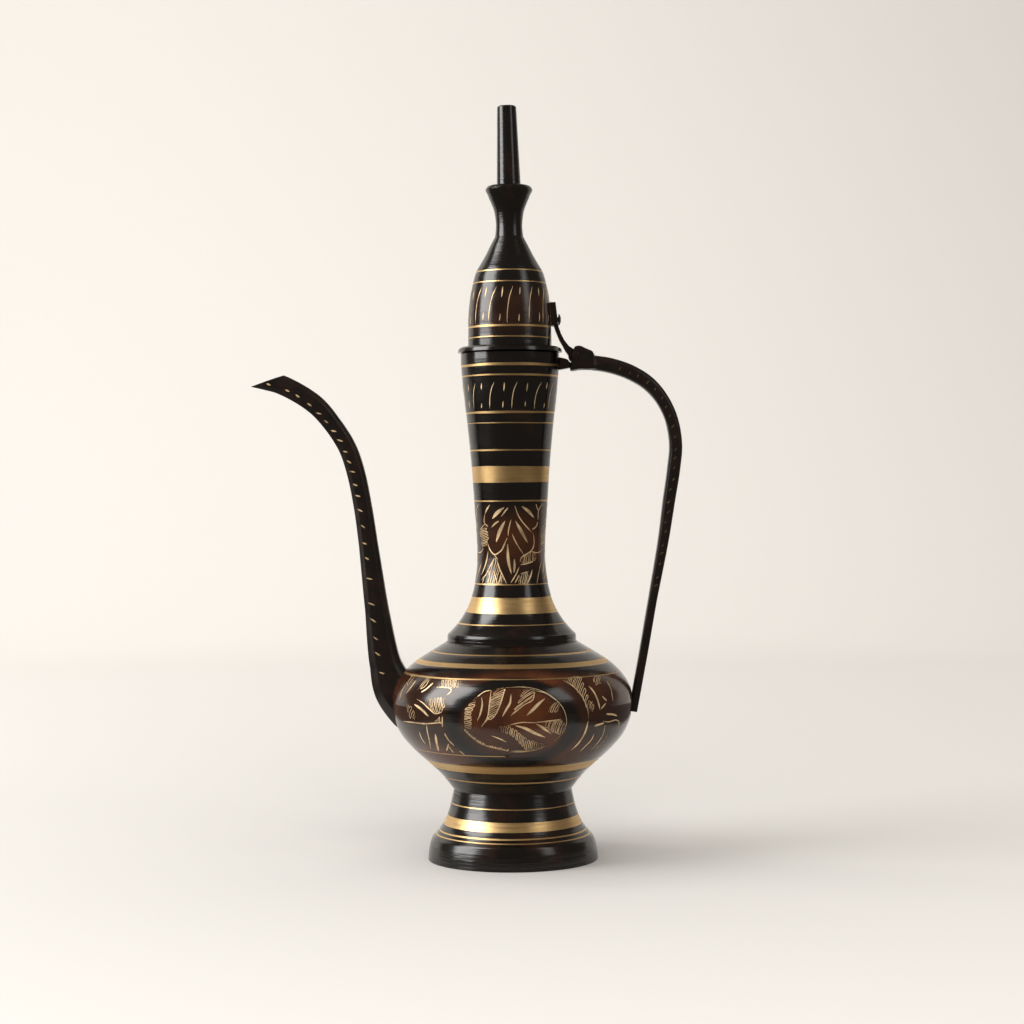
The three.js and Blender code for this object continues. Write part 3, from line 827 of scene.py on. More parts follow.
OVAL_CENTRE = (3, -230)
OVAL_ALMONDS = (
    (1.6, ((-33.5, 22), (-33, 15), (-35, 6), (-38, -1))), (2.1, ((-4, 26), (-5, 17), (-9, 10), (-13, 3))),
    (2.9, ((30, 21), (24, 16), (17, 9), (11.5, 4))), (3.0, ((0, -6), (10, -9), (20, -14), (30, -18))),
    (2.5, ((20, -4), (27, -8), (36, -14.5))), (1.3, ((-24, -16), (-16, -19), (-8, -23))),
)
OVAL_LINES = (
    (0.9, ((-38, 23), (-31, 28), (-24, 29.5))), (0.7, ((19, 29), (31, 26), (41, 19))),
    (0.9, ((-4, -31.5), (14, -31.5), (21, -30))), (0.9, ((-8, -6), (6, -3), (21, -3), (46, 0))),
    (0.9, ((-24, 29), (-26, 14), (-28, 2), (-34, -7))), (0.9, ((-10, 31), (-15, 15), (-20, 4))),
    (0.8, ((19, 30), (18, 20), (8, 14), (-4, 4))),
    (0.6, ((-10, 32), (8, 32.5), (24, 29.5), (38, 22), (48, 11), (51.5, -2), (48, -13), (39, -22))),
    (0.5, ((31, -26.5), (20, -30.5), (8, -32.5), (-6, -32.5))),
)
OVAL_EDGE = ((-51, -11), (-44, -18), (-34, -25), (-22, -29), (-8, -32))
OVAL_PATCHES = (
    (10, 2.2, ((-38, 24), (-50, 10), (-51, 0), (-50, -12), (-44, -8), (-44, 8), (-40, 17))),
    (25, 2.1, ((-10, 32), (-18, 31), (-24, 22), (-26, 8), (-28, 0), (-34, -7), (-20, 4), (-15, 15))),
    (35, 2.1, ((9, 31), (19, 30), (18, 20), (8, 14), (-4, 4), (3, 16))),
    (60, 2.2, ((31, 7), (39, 16), (44, 18), (46, 13), (43, 8))),
    (70, 2.2, ((27, -2), (46, -1), (51, -8), (49, -15), (43, -15), (35, -11), (27, -5))),
    (80, 2.3, ((-16, -7), (-6, -7), (6, -15), (14, -21), (29, -25), (26, -28), (12, -31),
               (6, -25), (-2, -17), (-14, -11))),
)
RIGHT_STROKES = (
    (0.9, ((48, 39), (58, 33), (67, 23), (72.5, 10), (73.5, 0))),
    (2.0, ((73, -2), (70, -13), (64, -23), (56, -31))), (2.0, ((74, 33), (79, 27), (83, 18), (85, 9))),
    (1.3, ((92, 38), (96, 30), (98, 18))), (1.5, ((87, 23), (92, 18))), (1.3, ((91, 16), (86, 10))),
    (1.8, ((91, 5), (98, 4.5), (102, 3))), (2.0, ((79, -7), (89, -4))),
    (1.0, ((88, -2), (93, -3), (101, -1), (104, -4), (101, -12))),
    (1.4, ((90, -6), (88, -15), (83, -23), (76, -31))), (1.4, ((79, -15), (75, -22), (64, -33))),
    (1.1, ((93, -15), (88, -22), (79, -31))),
)
RIGHT_PATCHES = (
    (70, 2.3, ((48, 41), (66, 43), (71, 27), (76, 15), (74, 4), (72.5, 10), (67, 23), (58, 33))),
    (60, 2.0, ((76, 8), (74, 18), (78, 17), (80, 7))), (80, 2.0, ((78, 42), (86, 43), (87, 36), (80, 34))),
)
LEFT_STROKES = (
    (1.0, ((-79, 33), (-69, 32.5), (-65, 31.5), (-64, 29), (-69, 24))),
    (1.0, ((-98, 21), (-92, 17), (-86, 11), (-80, 6.5), (-74, 8), (-72, 11))),
    (2.4, ((-101, 16), (-94, 11), (-87, 4))), (1.3, ((-99, 40), (-105, 32), (-109, 27))),
    (1.7, ((-82, 37), (-89, 31), (-94, 28))), (1.0, ((-108, 38), (-113, 30), (-116, 20))),
    (1.2, ((-112, -1), (-104, -2), (-90, -3.5), (-74, -2.5))),
    (1.2, ((-89, -4), (-88, -12), (-86, -21), (-85, -29))), (1.0, ((-73, 4), (-73, -7))),
    (1.5, ((-96, -12), (-94, -18), (-90, -24))), (2.6, ((-80, -14), (-79, -22), (-77, -31))),
    (1.4, ((-71, -13), (-67, -20), (-61, -26))), (1.5, ((-67, -24), (-69, -31))),
    (1.4, ((-67, -26), (-62, -33))), (1.4, ((-56, -31), (-51, -35))),
)
LEFT_PATCHES = (
    (88, 2.2, ((-74, 40), (-52, 39), (-56, 33), (-69, 32), (-79, 33))),
    (100, 2.0, ((-89, 21), (-82, 22), (-68, 22), (-70, 14), (-77, 7), (-84, 10), (-90, 16))),
    (50, 2.2, ((-89, 43), (-82, 42), (-90, 34), (-99, 29))), (50, 2.2, ((-104, 45), (-96, 47), (-110, 32))),
    (90, 2.0, ((-82, -3), (-74, 4), (-73, -3))), (70, 2.2, ((-110, 16), (-104, 14), (-98, 1), (-105, 2))),
)

# Bands of each wall, in millimetres from the floor

FOOT_BANDS = (
    Band(12.3, 0.55, 0.12), Band(14.1, 0.5, 0.15), Band(19.0, 4.3, 0.12), Band(26.8, 0.55, 0.12),
)
LOWER_BANDS = (
    Band(39.5, 0.55, 0.12), Band(46.4, 3.9, 0.12), Band(53.8, 0.45, 0.1, (-66, -3)),
)
UPPER_BANDS = (
    Band(88.7, 0.4, 0.25), Band(94.05, 1.9, 0.1), Band(98.5, 0.5, 0.1),
)
NECK_BANDS = (
    Band(111.4, 0.5, 0.12), Band(120.2, 7.4, 0.15), Band(129.9, 0.55, 0.12), Band(168.9, 0.6, 0.12),
    Band(181.2, 7.5, 0.16), Band(192.5, 0.65, 0.1), Band(205.2, 0.5, 0.14), Band(210.1, 0.8, 0.22),
    Band(227.4, 0.85, 0.2), Band(232.2, 1.0, 0.25),
)
DOME_BANDS = (
    Band(245.3, 0.6, 0.12), Band(250.4, 0.85, 0.12), Band(271.1, 0.6, 0.14), Band(276.6, 0.5, 0.1),
)


# Hooked strokes: the heights between which they lie, the azimuth of the first, and how far they lean

DOME_HOOKS = (251.2 * MM, 268.9 * MM, 0.05, 0.17)
NECK_HOOKS = (211.2 * MM, 224.0 * MM, 0.12, 0.13)


# Finishes

class Finish:
    """A node material with short ways to add and join its nodes."""

    def __init__(self, name):
        self.material = bpy.data.materials.new(name)
        self.material.use_nodes = True
        self.nodes = self.material.node_tree.nodes
        self.place = self.add("TexCoord", "Object", {})

    def put(self, target, value):
        """Joins an output to an input, or sets the input to a number or a colour."""
        if isinstance(value, bpy.types.NodeSocket):
            self.material.node_tree.links.new(value, target)
        elif target.type == "RGBA":
            target.default_value = (*value, 1)
        else:
            target.default_value = value

    def add(self, kind, output, inputs, **settings):
        """One output of a new node, with its inputs put and its settings made."""
        node = self.nodes.new("ShaderNode" + kind)
        for name, value in settings.items():
            setattr(node, name, value)
        for key, value in inputs.items():
            self.put(node.inputs[key], value)
        return node.outputs[output]

    def set(self, **values):
        """Puts the shader's own inputs."""
        for name, value in values.items():
            self.put(self.nodes["Principled BSDF"].inputs[name.replace("_", " ")], value)

    def stretch(self, *scale):
        return self.add("Mapping", "Vector", {"Vector": self.place, "Scale": scale})

    def noise(self, scale, detail, vector=None, roughness=0.5):
        return self.add("TexNoise", "Fac", {
            "Vector": vector or self.place, "Scale": scale, "Detail": detail, "Roughness": roughness})

    def ramp(self, source, low, high, start=0.0, end=1.0):
        return self.add("MapRange", "Result", {
            "Value": source, "From Min": low, "From Max": high, "To Min": start, "To Max": end})

    def math(self, operation, first, second):
        return self.add("Math", "Value", {0: first, 1: second}, operation=operation)

    def colours(self, share, first, second):
        """Colour between two colours or sockets, by a share."""
        return self.add("Mix", 2, {0: share, 6: first, 7: second}, data_type="RGBA")

    def bump(self, height, strength, distance):
        inputs = {"Height": height, "Strength": strength, "Distance": distance}
        self.set(Normal=self.add("Bump", "Normal", inputs))


def scaled(colour, share):
    return tuple(channel * share for channel in colour)


def make_lacquer(name="lacquered_turning", polish=(0.12, 0.23), ridge=0.2 * MM):
    """Glossy lacquer over turned brass: black, and red-brown where it is thin; on the belly the red-brown
    also paints a highlight and a reflection of the floor.
    """
    look = Finish(name)
    colours = bpy.context.scene.ewer_finish
    clouds = look.noise(38, 5, roughness=0.62)
    # The stain attribute is the thin lacquer, and on the belly also a painted highlight and a painted
    # reflection of the floor
    stain = look.add("Attribute", "Fac", {}, attribute_name="stain")
    thin = look.math("MULTIPLY", stain, look.ramp(clouds, 0.32, 0.68, 0.25, 1.15))
    stain_and_painted_light = look.math("ADD", thin, look.ramp(clouds, 0.52, 0.8, 0, 0.3))
    smears = look.noise(60, 4, look.stretch(1, 1, 3))
    rings = look.noise(420, 3, look.stretch(0.04, 0.04, 2), 0.7)
    dents = look.math("MULTIPLY", look.noise(900, 2), 0.12)
    look.set(Base_Color=look.colours(stain_and_painted_light, colours.lacquer, colours.stain),
             Roughness=look.ramp(smears, 0.3, 0.75, *polish), IOR=1.5)
    look.bump(look.math("ADD", rings, dents), 0.3, ridge)
    return look.material


def make_ridged_lacquer():
    """The same lacquer over the ridges of the turning tool, on the foot, the collar and the lid."""
    return make_lacquer("ridged_lacquer", (0.14, 0.24), 0.55 * MM)


def make_casting_lacquer():
    """Black lacquer over a filed casting, rubbed at its edges."""
    look = Finish("lacquered_casting")
    colours = bpy.context.scene.ewer_finish
    rubbed = (0.07, 0.05, 0.034)
    edges = look.add("NewGeometry", "Pointiness", {})
    patches = look.noise(160, 5, roughness=0.6)
    worn = look.math("MULTIPLY", look.ramp(edges, 0.53, 0.62), look.ramp(patches, 0.42, 0.62, 0.0, 0.7))
    brown = look.colours(look.ramp(patches, 0.4, 0.75), colours.casting, scaled(colours.stain, 0.15))
    look.set(Base_Color=look.colours(worn, brown, rubbed),
             Roughness=look.ramp(patches, 0.3, 0.7, 0.26, 0.42), IOR=1.42)
    pits = look.noise(700, 4, roughness=0.6)
    files = look.noise(260, 2, look.stretch(1, 4, 1))
    look.bump(look.math("ADD", pits, files), 0.4, 0.1 * MM)
    return look.material


def make_band_brass():
    """Satin brass of the bands, with the fine rings of the turning tool."""
    look = Finish("turned_brass")
    dark = (0.42, 0.24, 0.09)
    tarnish = look.noise(45, 6, look.stretch(1, 1, 2.5), 0.65)
    rings = look.noise(900, 2, look.stretch(0.02, 0.02, 2))
    tone = look.math("ADD", look.ramp(tarnish, 0.48, 0.8, 0, 0.55), look.ramp(rings, 0.45, 0.7, 0, 0.2))
    look.set(Base_Color=look.colours(tone, bpy.context.scene.ewer_finish.band, dark),
             Roughness=look.ramp(rings, 0.3, 0.7, 0.34, 0.47), Metallic=1.0)
    look.bump(rings, 0.35, 0.04 * MM)
    return look.material


def make_cut_brass():
    """Brass laid bare by the graver, bright where it is fresh and dull where lacquer crept in."""
    look = Finish("cut_brass")
    bright = bpy.context.scene.ewer_finish.cut
    patches = look.ramp(look.noise(170, 4, roughness=0.6), 0.46, 0.68)
    chatter = look.noise(1500, 2)
    look.set(Base_Color=look.colours(patches, bright, scaled(bright, 0.42)),
             Roughness=look.ramp(chatter, 0.3, 0.7, 0.38, 0.55), Metallic=0.75)
    look.bump(chatter, 0.3, 0.03 * MM)
    return look.material


def make_raw_inside():
    """Dull bare metal of the inside."""
    look = Finish("raw_inside")
    pale = (0.3, 0.21, 0.11)
    dark = (0.12, 0.08, 0.045)
    stains = look.noise(70, 5, roughness=0.6)
    look.set(Base_Color=look.colours(look.ramp(stains, 0.35, 0.7), pale, dark),
             Roughness=look.ramp(stains, 0.3, 0.7, 0.42, 0.62), Metallic=0.9)
    look.bump(look.noise(500, 2, look.stretch(0.03, 0.03, 1.5)), 0.3, 0.05 * MM)
    return look.material


def make_cream():
    """Matt cream paper of the floor and backdrop, paler where it runs out of the lamps' reach."""
    look = Finish("cream_paper")
    colour = bpy.context.scene.ewer_stage.floor
    distance = look.add("VectorMath", "Value", {0: look.place}, operation="LENGTH")
    sideways = look.math("ABSOLUTE", look.add("SeparateXYZ", "X", {0: look.place}), 0)
    forward = look.math("MULTIPLY", look.add("SeparateXYZ", "Y", {0: look.place}), -1)
    outer = look.ramp(look.math("MAXIMUM", sideways, forward), 1.1, 2.4)
    middle = look.colours(look.ramp(distance, 0.1, 1.3), colour, scaled(colour, 1.48))
    look.set(Base_Color=look.colours(outer, middle, scaled(colour, 2.7)),
             Roughness=0.9, Specular_IOR_Level=0.1)
    return look.material


FINISHES = {
    "lacquer": make_lacquer,
    "ridged": make_ridged_lacquer,
    "casting": make_casting_lacquer,
    "band": make_band_brass,
    "cut": make_cut_brass,
    "inside": make_raw_inside,
    "cream": make_cream,
}


@cache
def finish(short_name):
    """A finish by its short name, made the first time that it is asked for."""
    return FINISHES[short_name]()


# Where the lacquer is thin, and on the belly a painted highlight and a painted reflection of the floor

OVAL_HALF_WIDTH = 23.5 * MM
OVAL_HALF_HEIGHT = 16.2 * MM
OVAL_HEIGHT = 69 * MM
LEAVES_HEIGHT = 149 * MM
HOOKS_HEIGHT = 258 * MM
# Place of the painted highlight above each of the belly's ovals
HIGHLIGHT_HEIGHT = 89 * MM
HIGHLIGHT_AZIMUTH = 0.08


def fade(value, zero, one):
    """Share from 0 to 1 of the way between two values."""
    return min(max((value - zero) / (one - zero), 0), 1)


def belly_stain_and_painted_light(azimuth, height):
    """Warm inside the two ovals, black on their borders and warm beside them, with a painted reflection of
    the floor lower down and a painted highlight above each oval.
    """
    folded = math.remainder(azimuth, math.pi)
    across = math.sin(folded) * BELLY_WALL.radius(height) / OVAL_HALF_WIDTH
    reach = math.hypot(across, (height - OVAL_HEIGHT) / OVAL_HALF_HEIGHT)
    inside = fade(reach, 1.03, 0.98)
    outside = fade(reach, 1.26, 1.32)
    below = fade(height, 91 * MM, 89 * MM) * fade(height, 44 * MM, 49 * MM)
    # Painted reflection of the floor: warmer colour lower on the belly, beside the ovals
    low = fade(height, 64 * MM, 56 * MM)
    # Painted highlight: a warm patch above each oval
    painted_highlight = math.exp(-((folded - HIGHLIGHT_AZIMUTH) / 0.3) ** 2 - ((height - HIGHLIGHT_HEIGHT) / (3 * MM)) ** 2)
    in_oval, beside, painted_reflection, in_highlight = 0.85, 0.4, 0.55, 1.5
    return inside * in_oval + outside * ((beside + painted_reflection * low) * below + in_highlight * painted_highlight)


def neck_stain(azimuth, height):
    """Warm in the panel of leaves."""
    return fade(abs(height - LEAVES_HEIGHT), 20 * MM, 10 * MM) * 0.28


def dome_stain(azimuth, height):
    """Warm behind the hooked strokes."""
    return fade(abs(height - HOOKS_HEIGHT), 14 * MM, 14 / 3 * MM) * 0.3


# Operators: one for each piece or group of like pieces, and one for the stage

class Undoable:
    """Makes each operator a step of its own that can be undone."""

    bl_options = {"REGISTER", "UNDO"}


class EWER_OT_foot(Undoable, bpy.types.Operator):
    """Turn the spreading foot with its bands"""

    bl_idname = "ewer.foot"
    bl_label = "Foot"

    def execute(self, context):
        inner = inner_wall(FOOT_WALL, 0, WAIST, context.scene.ewer_shell.wall)
        foot = turn_wall("turned_foot", FOOT_WALL, 0, WAIST, inner, FOOT_BANDS, RIDGED)
        seat(foot, "vessel", "foot")
        return {"FINISHED"}


COLLAR_BORE = 26 * MM


class EWER_OT_bowls(Undoable, bpy.types.Operator):
    """Turn the two halves of the belly"""

    bl_idname = "ewer.bowls"
    bl_label = "Belly"

    def execute(self, context):
        wall = context.scene.ewer_shell.wall
        floor = 2 * MM
        inner = inner_wall(BELLY_WALL, WAIST + floor, SEAM, wall) + [(0, WAIST + floor), (0, WAIST)]
        # The belly's stain carries a painted highlight and a painted reflection of the floor
        lower = turn_wall(
            "turned_lower_bowl", BELLY_WALL, WAIST, SEAM, inner, LOWER_BANDS, stain=belly_stain_and_painted_light)
        seat(lower, "vessel", "lower_bowl")
        inner = [(COLLAR_BORE, SHOULDER), (COLLAR_BORE, SHOULDER - floor)]
        inner += inner_wall(BELLY_WALL, SEAM, SHOULDER - floor, wall)
        upper = turn_wall(
            "turned_upper_bowl", BELLY_WALL, SEAM, SHOULDER, inner, UPPER_BANDS, stain=belly_stain_and_painted_light)
        seat(upper, "vessel", "upper_bowl")
        return {"FINISHED"}


class EWER_OT_collar(Undoable, bpy.types.Operator):
    """Turn the stepped collar between belly and neck"""

    bl_idname = "ewer.collar"
    bl_label = "Shoulder Collar"

    def execute(self, context):
        inner = [(COLLAR_BORE, NECK_FOOT), (COLLAR_BORE, SHOULDER)]
        collar = turn_wall("turned_collar", COLLAR_WALL, SHOULDER, NECK_FOOT, inner,
                           finishes=RIDGED, marks=context.scene.ewer_shell.tool_marks)
        seat(collar, "vessel", "shoulder_collar")
        return {"FINISHED"}


class EWER_OT_neck(Undoable, bpy.types.Operator):
    """Turn the neck with its lines and gold bands"""

    bl_idname = "ewer.neck"
    bl_label = "Neck"

    def execute(self, context):
        bore = 24.5 * MM
        inner = [(min(radius, bore), height) for radius, height in inner_wall(
            NECK_WALL, NECK_FOOT, NECK_TOP, context.scene.ewer_shell.wall, 40)]
        neck = turn_wall(
            "turned_neck", NECK_WALL, NECK_FOOT, NECK_TOP, inner, NECK_BANDS, stain=neck_stain)
        seat(neck, "vessel", "neck_tube")
        return {"FINISHED"}


class EWER_OT_rim(Undoable, bpy.types.Operator):
    """Turn the rounded rim of the mouth"""

    bl_idname = "ewer.rim"
    bl_label = "Rim"

    def execute(self, context):
        bore = 17.7 * MM
        edge = 0.5 * MM
        spigot = 21.2 * MM
        spigot_foot = NECK_TOP - 3 * MM
        spigot_bore = 20 * MM
        inner = [(bore + edge, RIM_TOP), (bore, RIM_TOP - edge), (bore, NECK_TOP),
                 (spigot_bore, NECK_TOP), (spigot_bore, spigot_foot), (spigot, spigot_foot),
                 (spigot, NECK_TOP)]
        low = RIM_WALL.heights[0]
        rim = turn_wall("turned_rim", RIM_WALL, low, RIM_TOP, inner, finishes=("lacquer",) * 3)
        seat(rim, "vessel", "rim_ring")
        return {"FINISHED"}


class EWER_OT_lid(Undoable, bpy.types.Operator):
    """Turn the lid's dome and the brass skirt inside it"""

    bl_idname = "ewer.lid"
    bl_label = "Lid"

    def execute(self, context):
        shell = context.scene.ewer_shell
        under = DOME_TOP - 2.2 * MM
        hole = 3.9 * MM
        inner = [(hole, DOME_TOP), (hole, under)]
        inner += inner_wall(DOME_WALL, RIM_TOP, under, shell.lid_wall, 24)
        dome = turn_wall("turned_dome", DOME_WALL, RIM_TOP, DOME_TOP, inner, DOME_BANDS, RIDGED,
                         shell.tool_marks, dome_stain)
        seat(dome, "lid", "lid_dome")

        low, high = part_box("lid_skirt")
        flange = (high.x - low.x) / 2
        mantle = 16.6 * MM
        bore = 15.2 * MM
        shoulder = high.z - 2 * MM
        soft = 0.4 * MM
        wall = Outline([(mantle - soft, low.z), (mantle, low.z + soft), (mantle, shoulder)],
                       corners=(low.z + soft,))
        inner = [(flange - soft, shoulder), (flange, shoulder + soft), (flange, high.z),
                 (bore, high.z), (bore, low.z)]
        skirt = turn_wall("turned_skirt", wall, low.z, shoulder, inner, finishes=("band",) * 3)
        seat(skirt, "lid", "lid_skirt")
        return {"FINISHED"}


class EWER_OT_finial(Undoable, bpy.types.Operator):
    """Turn the flaring cup and the tapered spike that stands in it"""

    bl_idname = "ewer.finial"
    bl_label = "Finial"

    def execute(self, context):
        marks = context.scene.ewer_shell.tool_marks
        black = ("ridged",) * 3
        dish = CUP_TOP - 1.8 * MM
        dish_radius = 6.4 * MM
        socket = 3.2 * MM
        socket_floor = dish - 8.5 * MM
        spigot = 3.6 * MM
        spigot_foot = DOME_TOP - 4.4 * MM
        inner = [(radius * MM, CUP_TOP - drop * MM) for radius, drop in CUP_EDGE]
        inner += [(dish_radius, dish), (socket, dish), (socket, socket_floor), (0, socket_floor),
                  (0, spigot_foot), (spigot, spigot_foot), (spigot, DOME_TOP)]
        cup = turn_wall("turned_cup", CUP_WALL, DOME_TOP, CUP_BEND, inner, (), black, marks * 1.6)
        seat(cup, "lid", "finial_cup")

        foot = dish + 0.15 * MM
        lean = math.radians(1.2)
        foot_radius = 5.75 * MM
        tip_radius = 4.6 * MM
        edge = 0.5 * MM
        bevel = 0.15 * MM
        tip = SPIKE_TOP - foot - 0.1 * MM
        shaft = Outline(
            [(foot_radius, 0), (tip_radius, tip - edge), (tip_radius - bevel, tip - bevel),
             (tip_radius - edge, tip)], corners=(tip - edge,))
        tenon = 2.6 * MM
        tenon_foot = -7.5 * MM
        pit = 2.6 * MM
        pit_floor = tip - 1.6 * MM
        inner = [(pit, tip - 0.1 * MM), (pit - 0.6 * MM, pit_floor), (0, pit_floor),
                 (0, tenon_foot), (tenon, tenon_foot), (tenon, 0)]
        spike = turn_wall("turned_spike", shaft, 0, tip, inner, (), black, marks)
        spike.data.transform(
            Matrix.Translation((AXIS_X, 0, foot)) @ Matrix.Rotation(-lean, 4, "Y")
            @ Matrix.Translation((-AXIS_X, 0, 0)))
        seat(spike, "lid", "finial_spike")
        return {"FINISHED"}


# Edge of a swept bar's section, rounded over this length
BAR_ROUNDING = 0.55 * MM
BORE_ROUNDING = 0.4 * MM


class EWER_OT_spout(Undoable, bpy.types.Operator):
    """Sweep the chamfered hollow spout with its slanting beak"""

    bl_idname = "ewer.spout"
    bl_label = "Spout"

    def execute(self, context):
        spout = sweep_bar("cast_spout", SPOUT_STATIONS, 170, SPOUT_CHAMFER, BAR_ROUNDING, "casting")
        first = 3
        chamfer_share = 0.7
        bore_stations = SPOUT_BORE_ROOT + tuple(
            (x, z, depth - 2 * SPOUT_WALL, width - 2 * SPOUT_WALL, chamfer * chamfer_share)
            for x, z, depth, width, chamfer in SPOUT_STATIONS[first:])
        bore = sweep_bar("bore", bore_stations, 120, SPOUT_CHAMFER, BORE_ROUNDING, "inside")
        past = 0.02
        rise = 30
        run = (BEAK_HEEL[0] - BEAK_TIP[0], BEAK_HEEL[1] - BEAK_TIP[1])
        far = (BEAK_TIP[0] - run[0], BEAK_TIP[1] - run[1])
        near = (BEAK_HEEL[0] + run[0] * past, BEAK_HEEL[1] + run[1] * past)
        beak = wedge("beak", (far, near, (near[0], near[1] + rise), (far[0], near[1] + rise)), rise)
        combine(spout, "DIFFERENCE", bore, beak, belly_plug())
        smooth(spout.data)
        seat(spout, "vessel", "spout_tube")
        return {"FINISHED"}


def cast_from(node, name, voxel, passes, keep_below=None):
    """Rounded casting in the shape of a node, or of the part of it left of a plane."""
    weld = 0.005 * MM
    mesh = NODES[node].data.copy()
    if keep_below is not None:
        shape = bmesh.new()
        shape.from_mesh(mesh)
        bmesh.ops.remove_doubles(shape, verts=shape.verts, dist=weld)
        cut = bmesh.ops.bisect_plane(
            shape, geom=shape.verts[:] + shape.edges[:] + shape.faces[:],
            plane_co=(keep_below, 0, 0), plane_no=(1, 0, 0), clear_outer=True)
        rim = [part for part in cut["geom_cut"] if isinstance(part, bmesh.types.BMEdge)]
        bmesh.ops.holes_fill(shape, edges=rim)
        shape.to_mesh(mesh)
        shape.free()
    mesh.materials.clear()
    mesh.materials.append(finish("casting"))
    piece = add_object(name, mesh)
    remesh = piece.modifiers.new("remesh", "REMESH")
    remesh.mode = "VOXEL"
    remesh.voxel_size = voxel
    soften = piece.modifiers.new("soften", "SMOOTH")
    soften.factor = 0.5
    soften.iterations = passes
    bake_modifiers(piece)
    smooth(piece.data, CAST_SHARP)
    return piece


class EWER_OT_handle(Undoable, bpy.types.Operator):
    """Sweep the strap handle and cast the hinge clevis on its head"""

    bl_idname = "ewer.handle"
    bl_label = "Handle"

    def execute(self, context):
        strap = sweep_bar(
            "cast_handle", HANDLE_STATIONS, 150, HANDLE_CHAMFER, BAR_ROUNDING, "casting")
        left, low, high, width = 20, 215, 250, 30
        trim = wedge("trim", ((left, low), (STRAP_START, low), (STRAP_START, high), (left, high)), width)
        combine(strap, "DIFFERENCE", trim, belly_plug())
        clevis = cast_from(
            "handle_bar", "clevis", voxel=0.42 * MM, passes=16, keep_below=AXIS_X + CLEVIS_END * MM)
        lump_scale = 260
        lump_height = 0.35 * MM
        for vertex in clevis.data.vertices:
            vertex.co += vertex.normal * noise.noise(vertex.co * lump_scale) * lump_height
        combine(strap, "UNION", clevis)
        smooth(strap.data)
        seat(strap, "vessel", "handle_bar")
        return {"FINISHED"}


class EWER_OT_hinge(Undoable, bpy.types.Operator):
    """Cast the hinge leaf and the neck bracket, and round off the pin and the rivet from their nodes"""

    bl_idname = "ewer.hinge"
    bl_label = "Hinge"

    def execute(self, context):
        leaf = cast_from("hinge_leaf", "cast_leaf", voxel=0.22 * MM, passes=4)
        seat(leaf, "lid", "hinge_leaf")
        bracket = cast_from("neck_bracket", "cast_bracket", voxel=0.3 * MM, passes=10)
        low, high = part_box("neck_bracket")
        into_neck = 0.45
        longer = 1.15
        thinner = 0.5
        for vertex in bracket.data.vertices:
            share = (vertex.co.x - low.x) / (high.x - low.x)
            vertex.co.x += (share * longer - into_neck) * MM
            vertex.co.z -= (vertex.co.z - (low.z + high.z) / 2) * thinner * share
        seat(bracket, "vessel", "neck_bracket")
        pin = cast_from("hinge_pin", "turned_pin", voxel=0.14 * MM, passes=4)
        seat(pin, "vessel", "hinge_pin")
        rivet = cast_from("leaf_rivet", "turned_rivet", voxel=0.14 * MM, passes=6)
        seat(rivet, "lid", "leaf_rivet")
        return {"FINISHED"}


class EWER_OT_hooks(Undoable, bpy.types.Operator):
    """Cut the hooked strokes round the dome and under the rim"""

    bl_idname = "ewer.hooks"
    bl_label = "Hooked Strokes"

    def execute(self, context):
        draw = random.Random(31)
        dome = CutBed(DOME_WALL)
        draw_hooks(dome, *DOME_HOOKS, draw)
        dome.close("dome_hooks", "lid")
        neck = CutBed(NECK_WALL)
        draw_hooks(neck, *NECK_HOOKS, draw)
        neck.close("neck_hooks", "vessel")
        return {"FINISHED"}


class EWER_OT_foliage(Undoable, bpy.types.Operator):
    """Cut the leaves of the neck and of the belly"""

    bl_idname = "ewer.foliage"
    bl_label = "Foliage"

    def execute(self, context):
        draw = random.Random(52)
        neck = CutBed(NECK_WALL, LEAF_CENTRE)
        for k in range(3):
            turn = math.tau * k / 3
            neck.stencil(LEAF_ALMONDS, turn, almond)
            neck.stencil(LEAF_LINES, turn, needle)
            neck.hatches(LEAF_PATCHES, turn, draw)
        neck.close("neck_foliage", "vessel")
        ovals = CutBed(BELLY_WALL, OVAL_CENTRE)
        sides = CutBed(BELLY_WALL, OVAL_CENTRE)
        for turn in (0, math.pi):
            ovals.stencil(OVAL_ALMONDS, turn, almond)
            ovals.stencil(OVAL_LINES, turn, needle)
            ovals.stencil(wriggle(OVAL_EDGE, draw), turn, needle)
            ovals.hatches(OVAL_PATCHES, turn, draw)
            sides.stencil(RIGHT_STROKES + LEFT_STROKES, turn, needle)
            sides.hatches(RIGHT_PATCHES + LEFT_PATCHES, turn, draw)
        ovals.close("belly_ovals", "vessel")
        sides.close("belly_sprays", "vessel")
        return {"FINISHED"}


class EWER_OT_nicks(Undoable, bpy.types.Operator):
    """Cut the short nicks along the spout and the handle"""

    bl_idname = "ewer.nicks"
    bl_label = "Nicks"

    def execute(self, context):
        draw = random.Random(7)
        spout = CutBed()
        sweep = Sweep(SPOUT_STATIONS)
        out = 0.16
        longer = 1.35
        longer_below = 125
        for height in SPOUT_NICKS:
            section = sweep.at_height(height * MM, out)
            length = draw.uniform(2.2, 3.2) * (longer if height < longer_below else 1) * MM
            spout.nick(section, out + draw.uniform(-0.03, 0.03), draw.uniform(-38, -8), length,
                       draw.uniform(0.6, 0.9) * MM)
        spout.close("spout_nicks", "vessel")
        handle = CutBed()
        sweep = Sweep(HANDLE_STATIONS)
        count = 24
        first = 14.5 * MM
        spacing = 5.0 * MM
        for i in range(count):
            section = sweep.at_distance(first + (i + draw.uniform(-0.12, 0.12)) * spacing)
            slant = 58 - 30 * i / count + draw.uniform(-10, 10)
            handle.nick(section, draw.uniform(-0.1, 0.06), slant,
                        draw.uniform(1.5, 2.4) * MM, draw.uniform(0.3, 0.5) * MM)
        handle.close("handle_nicks", "vessel", "inside")
        return {"FINISHED"}


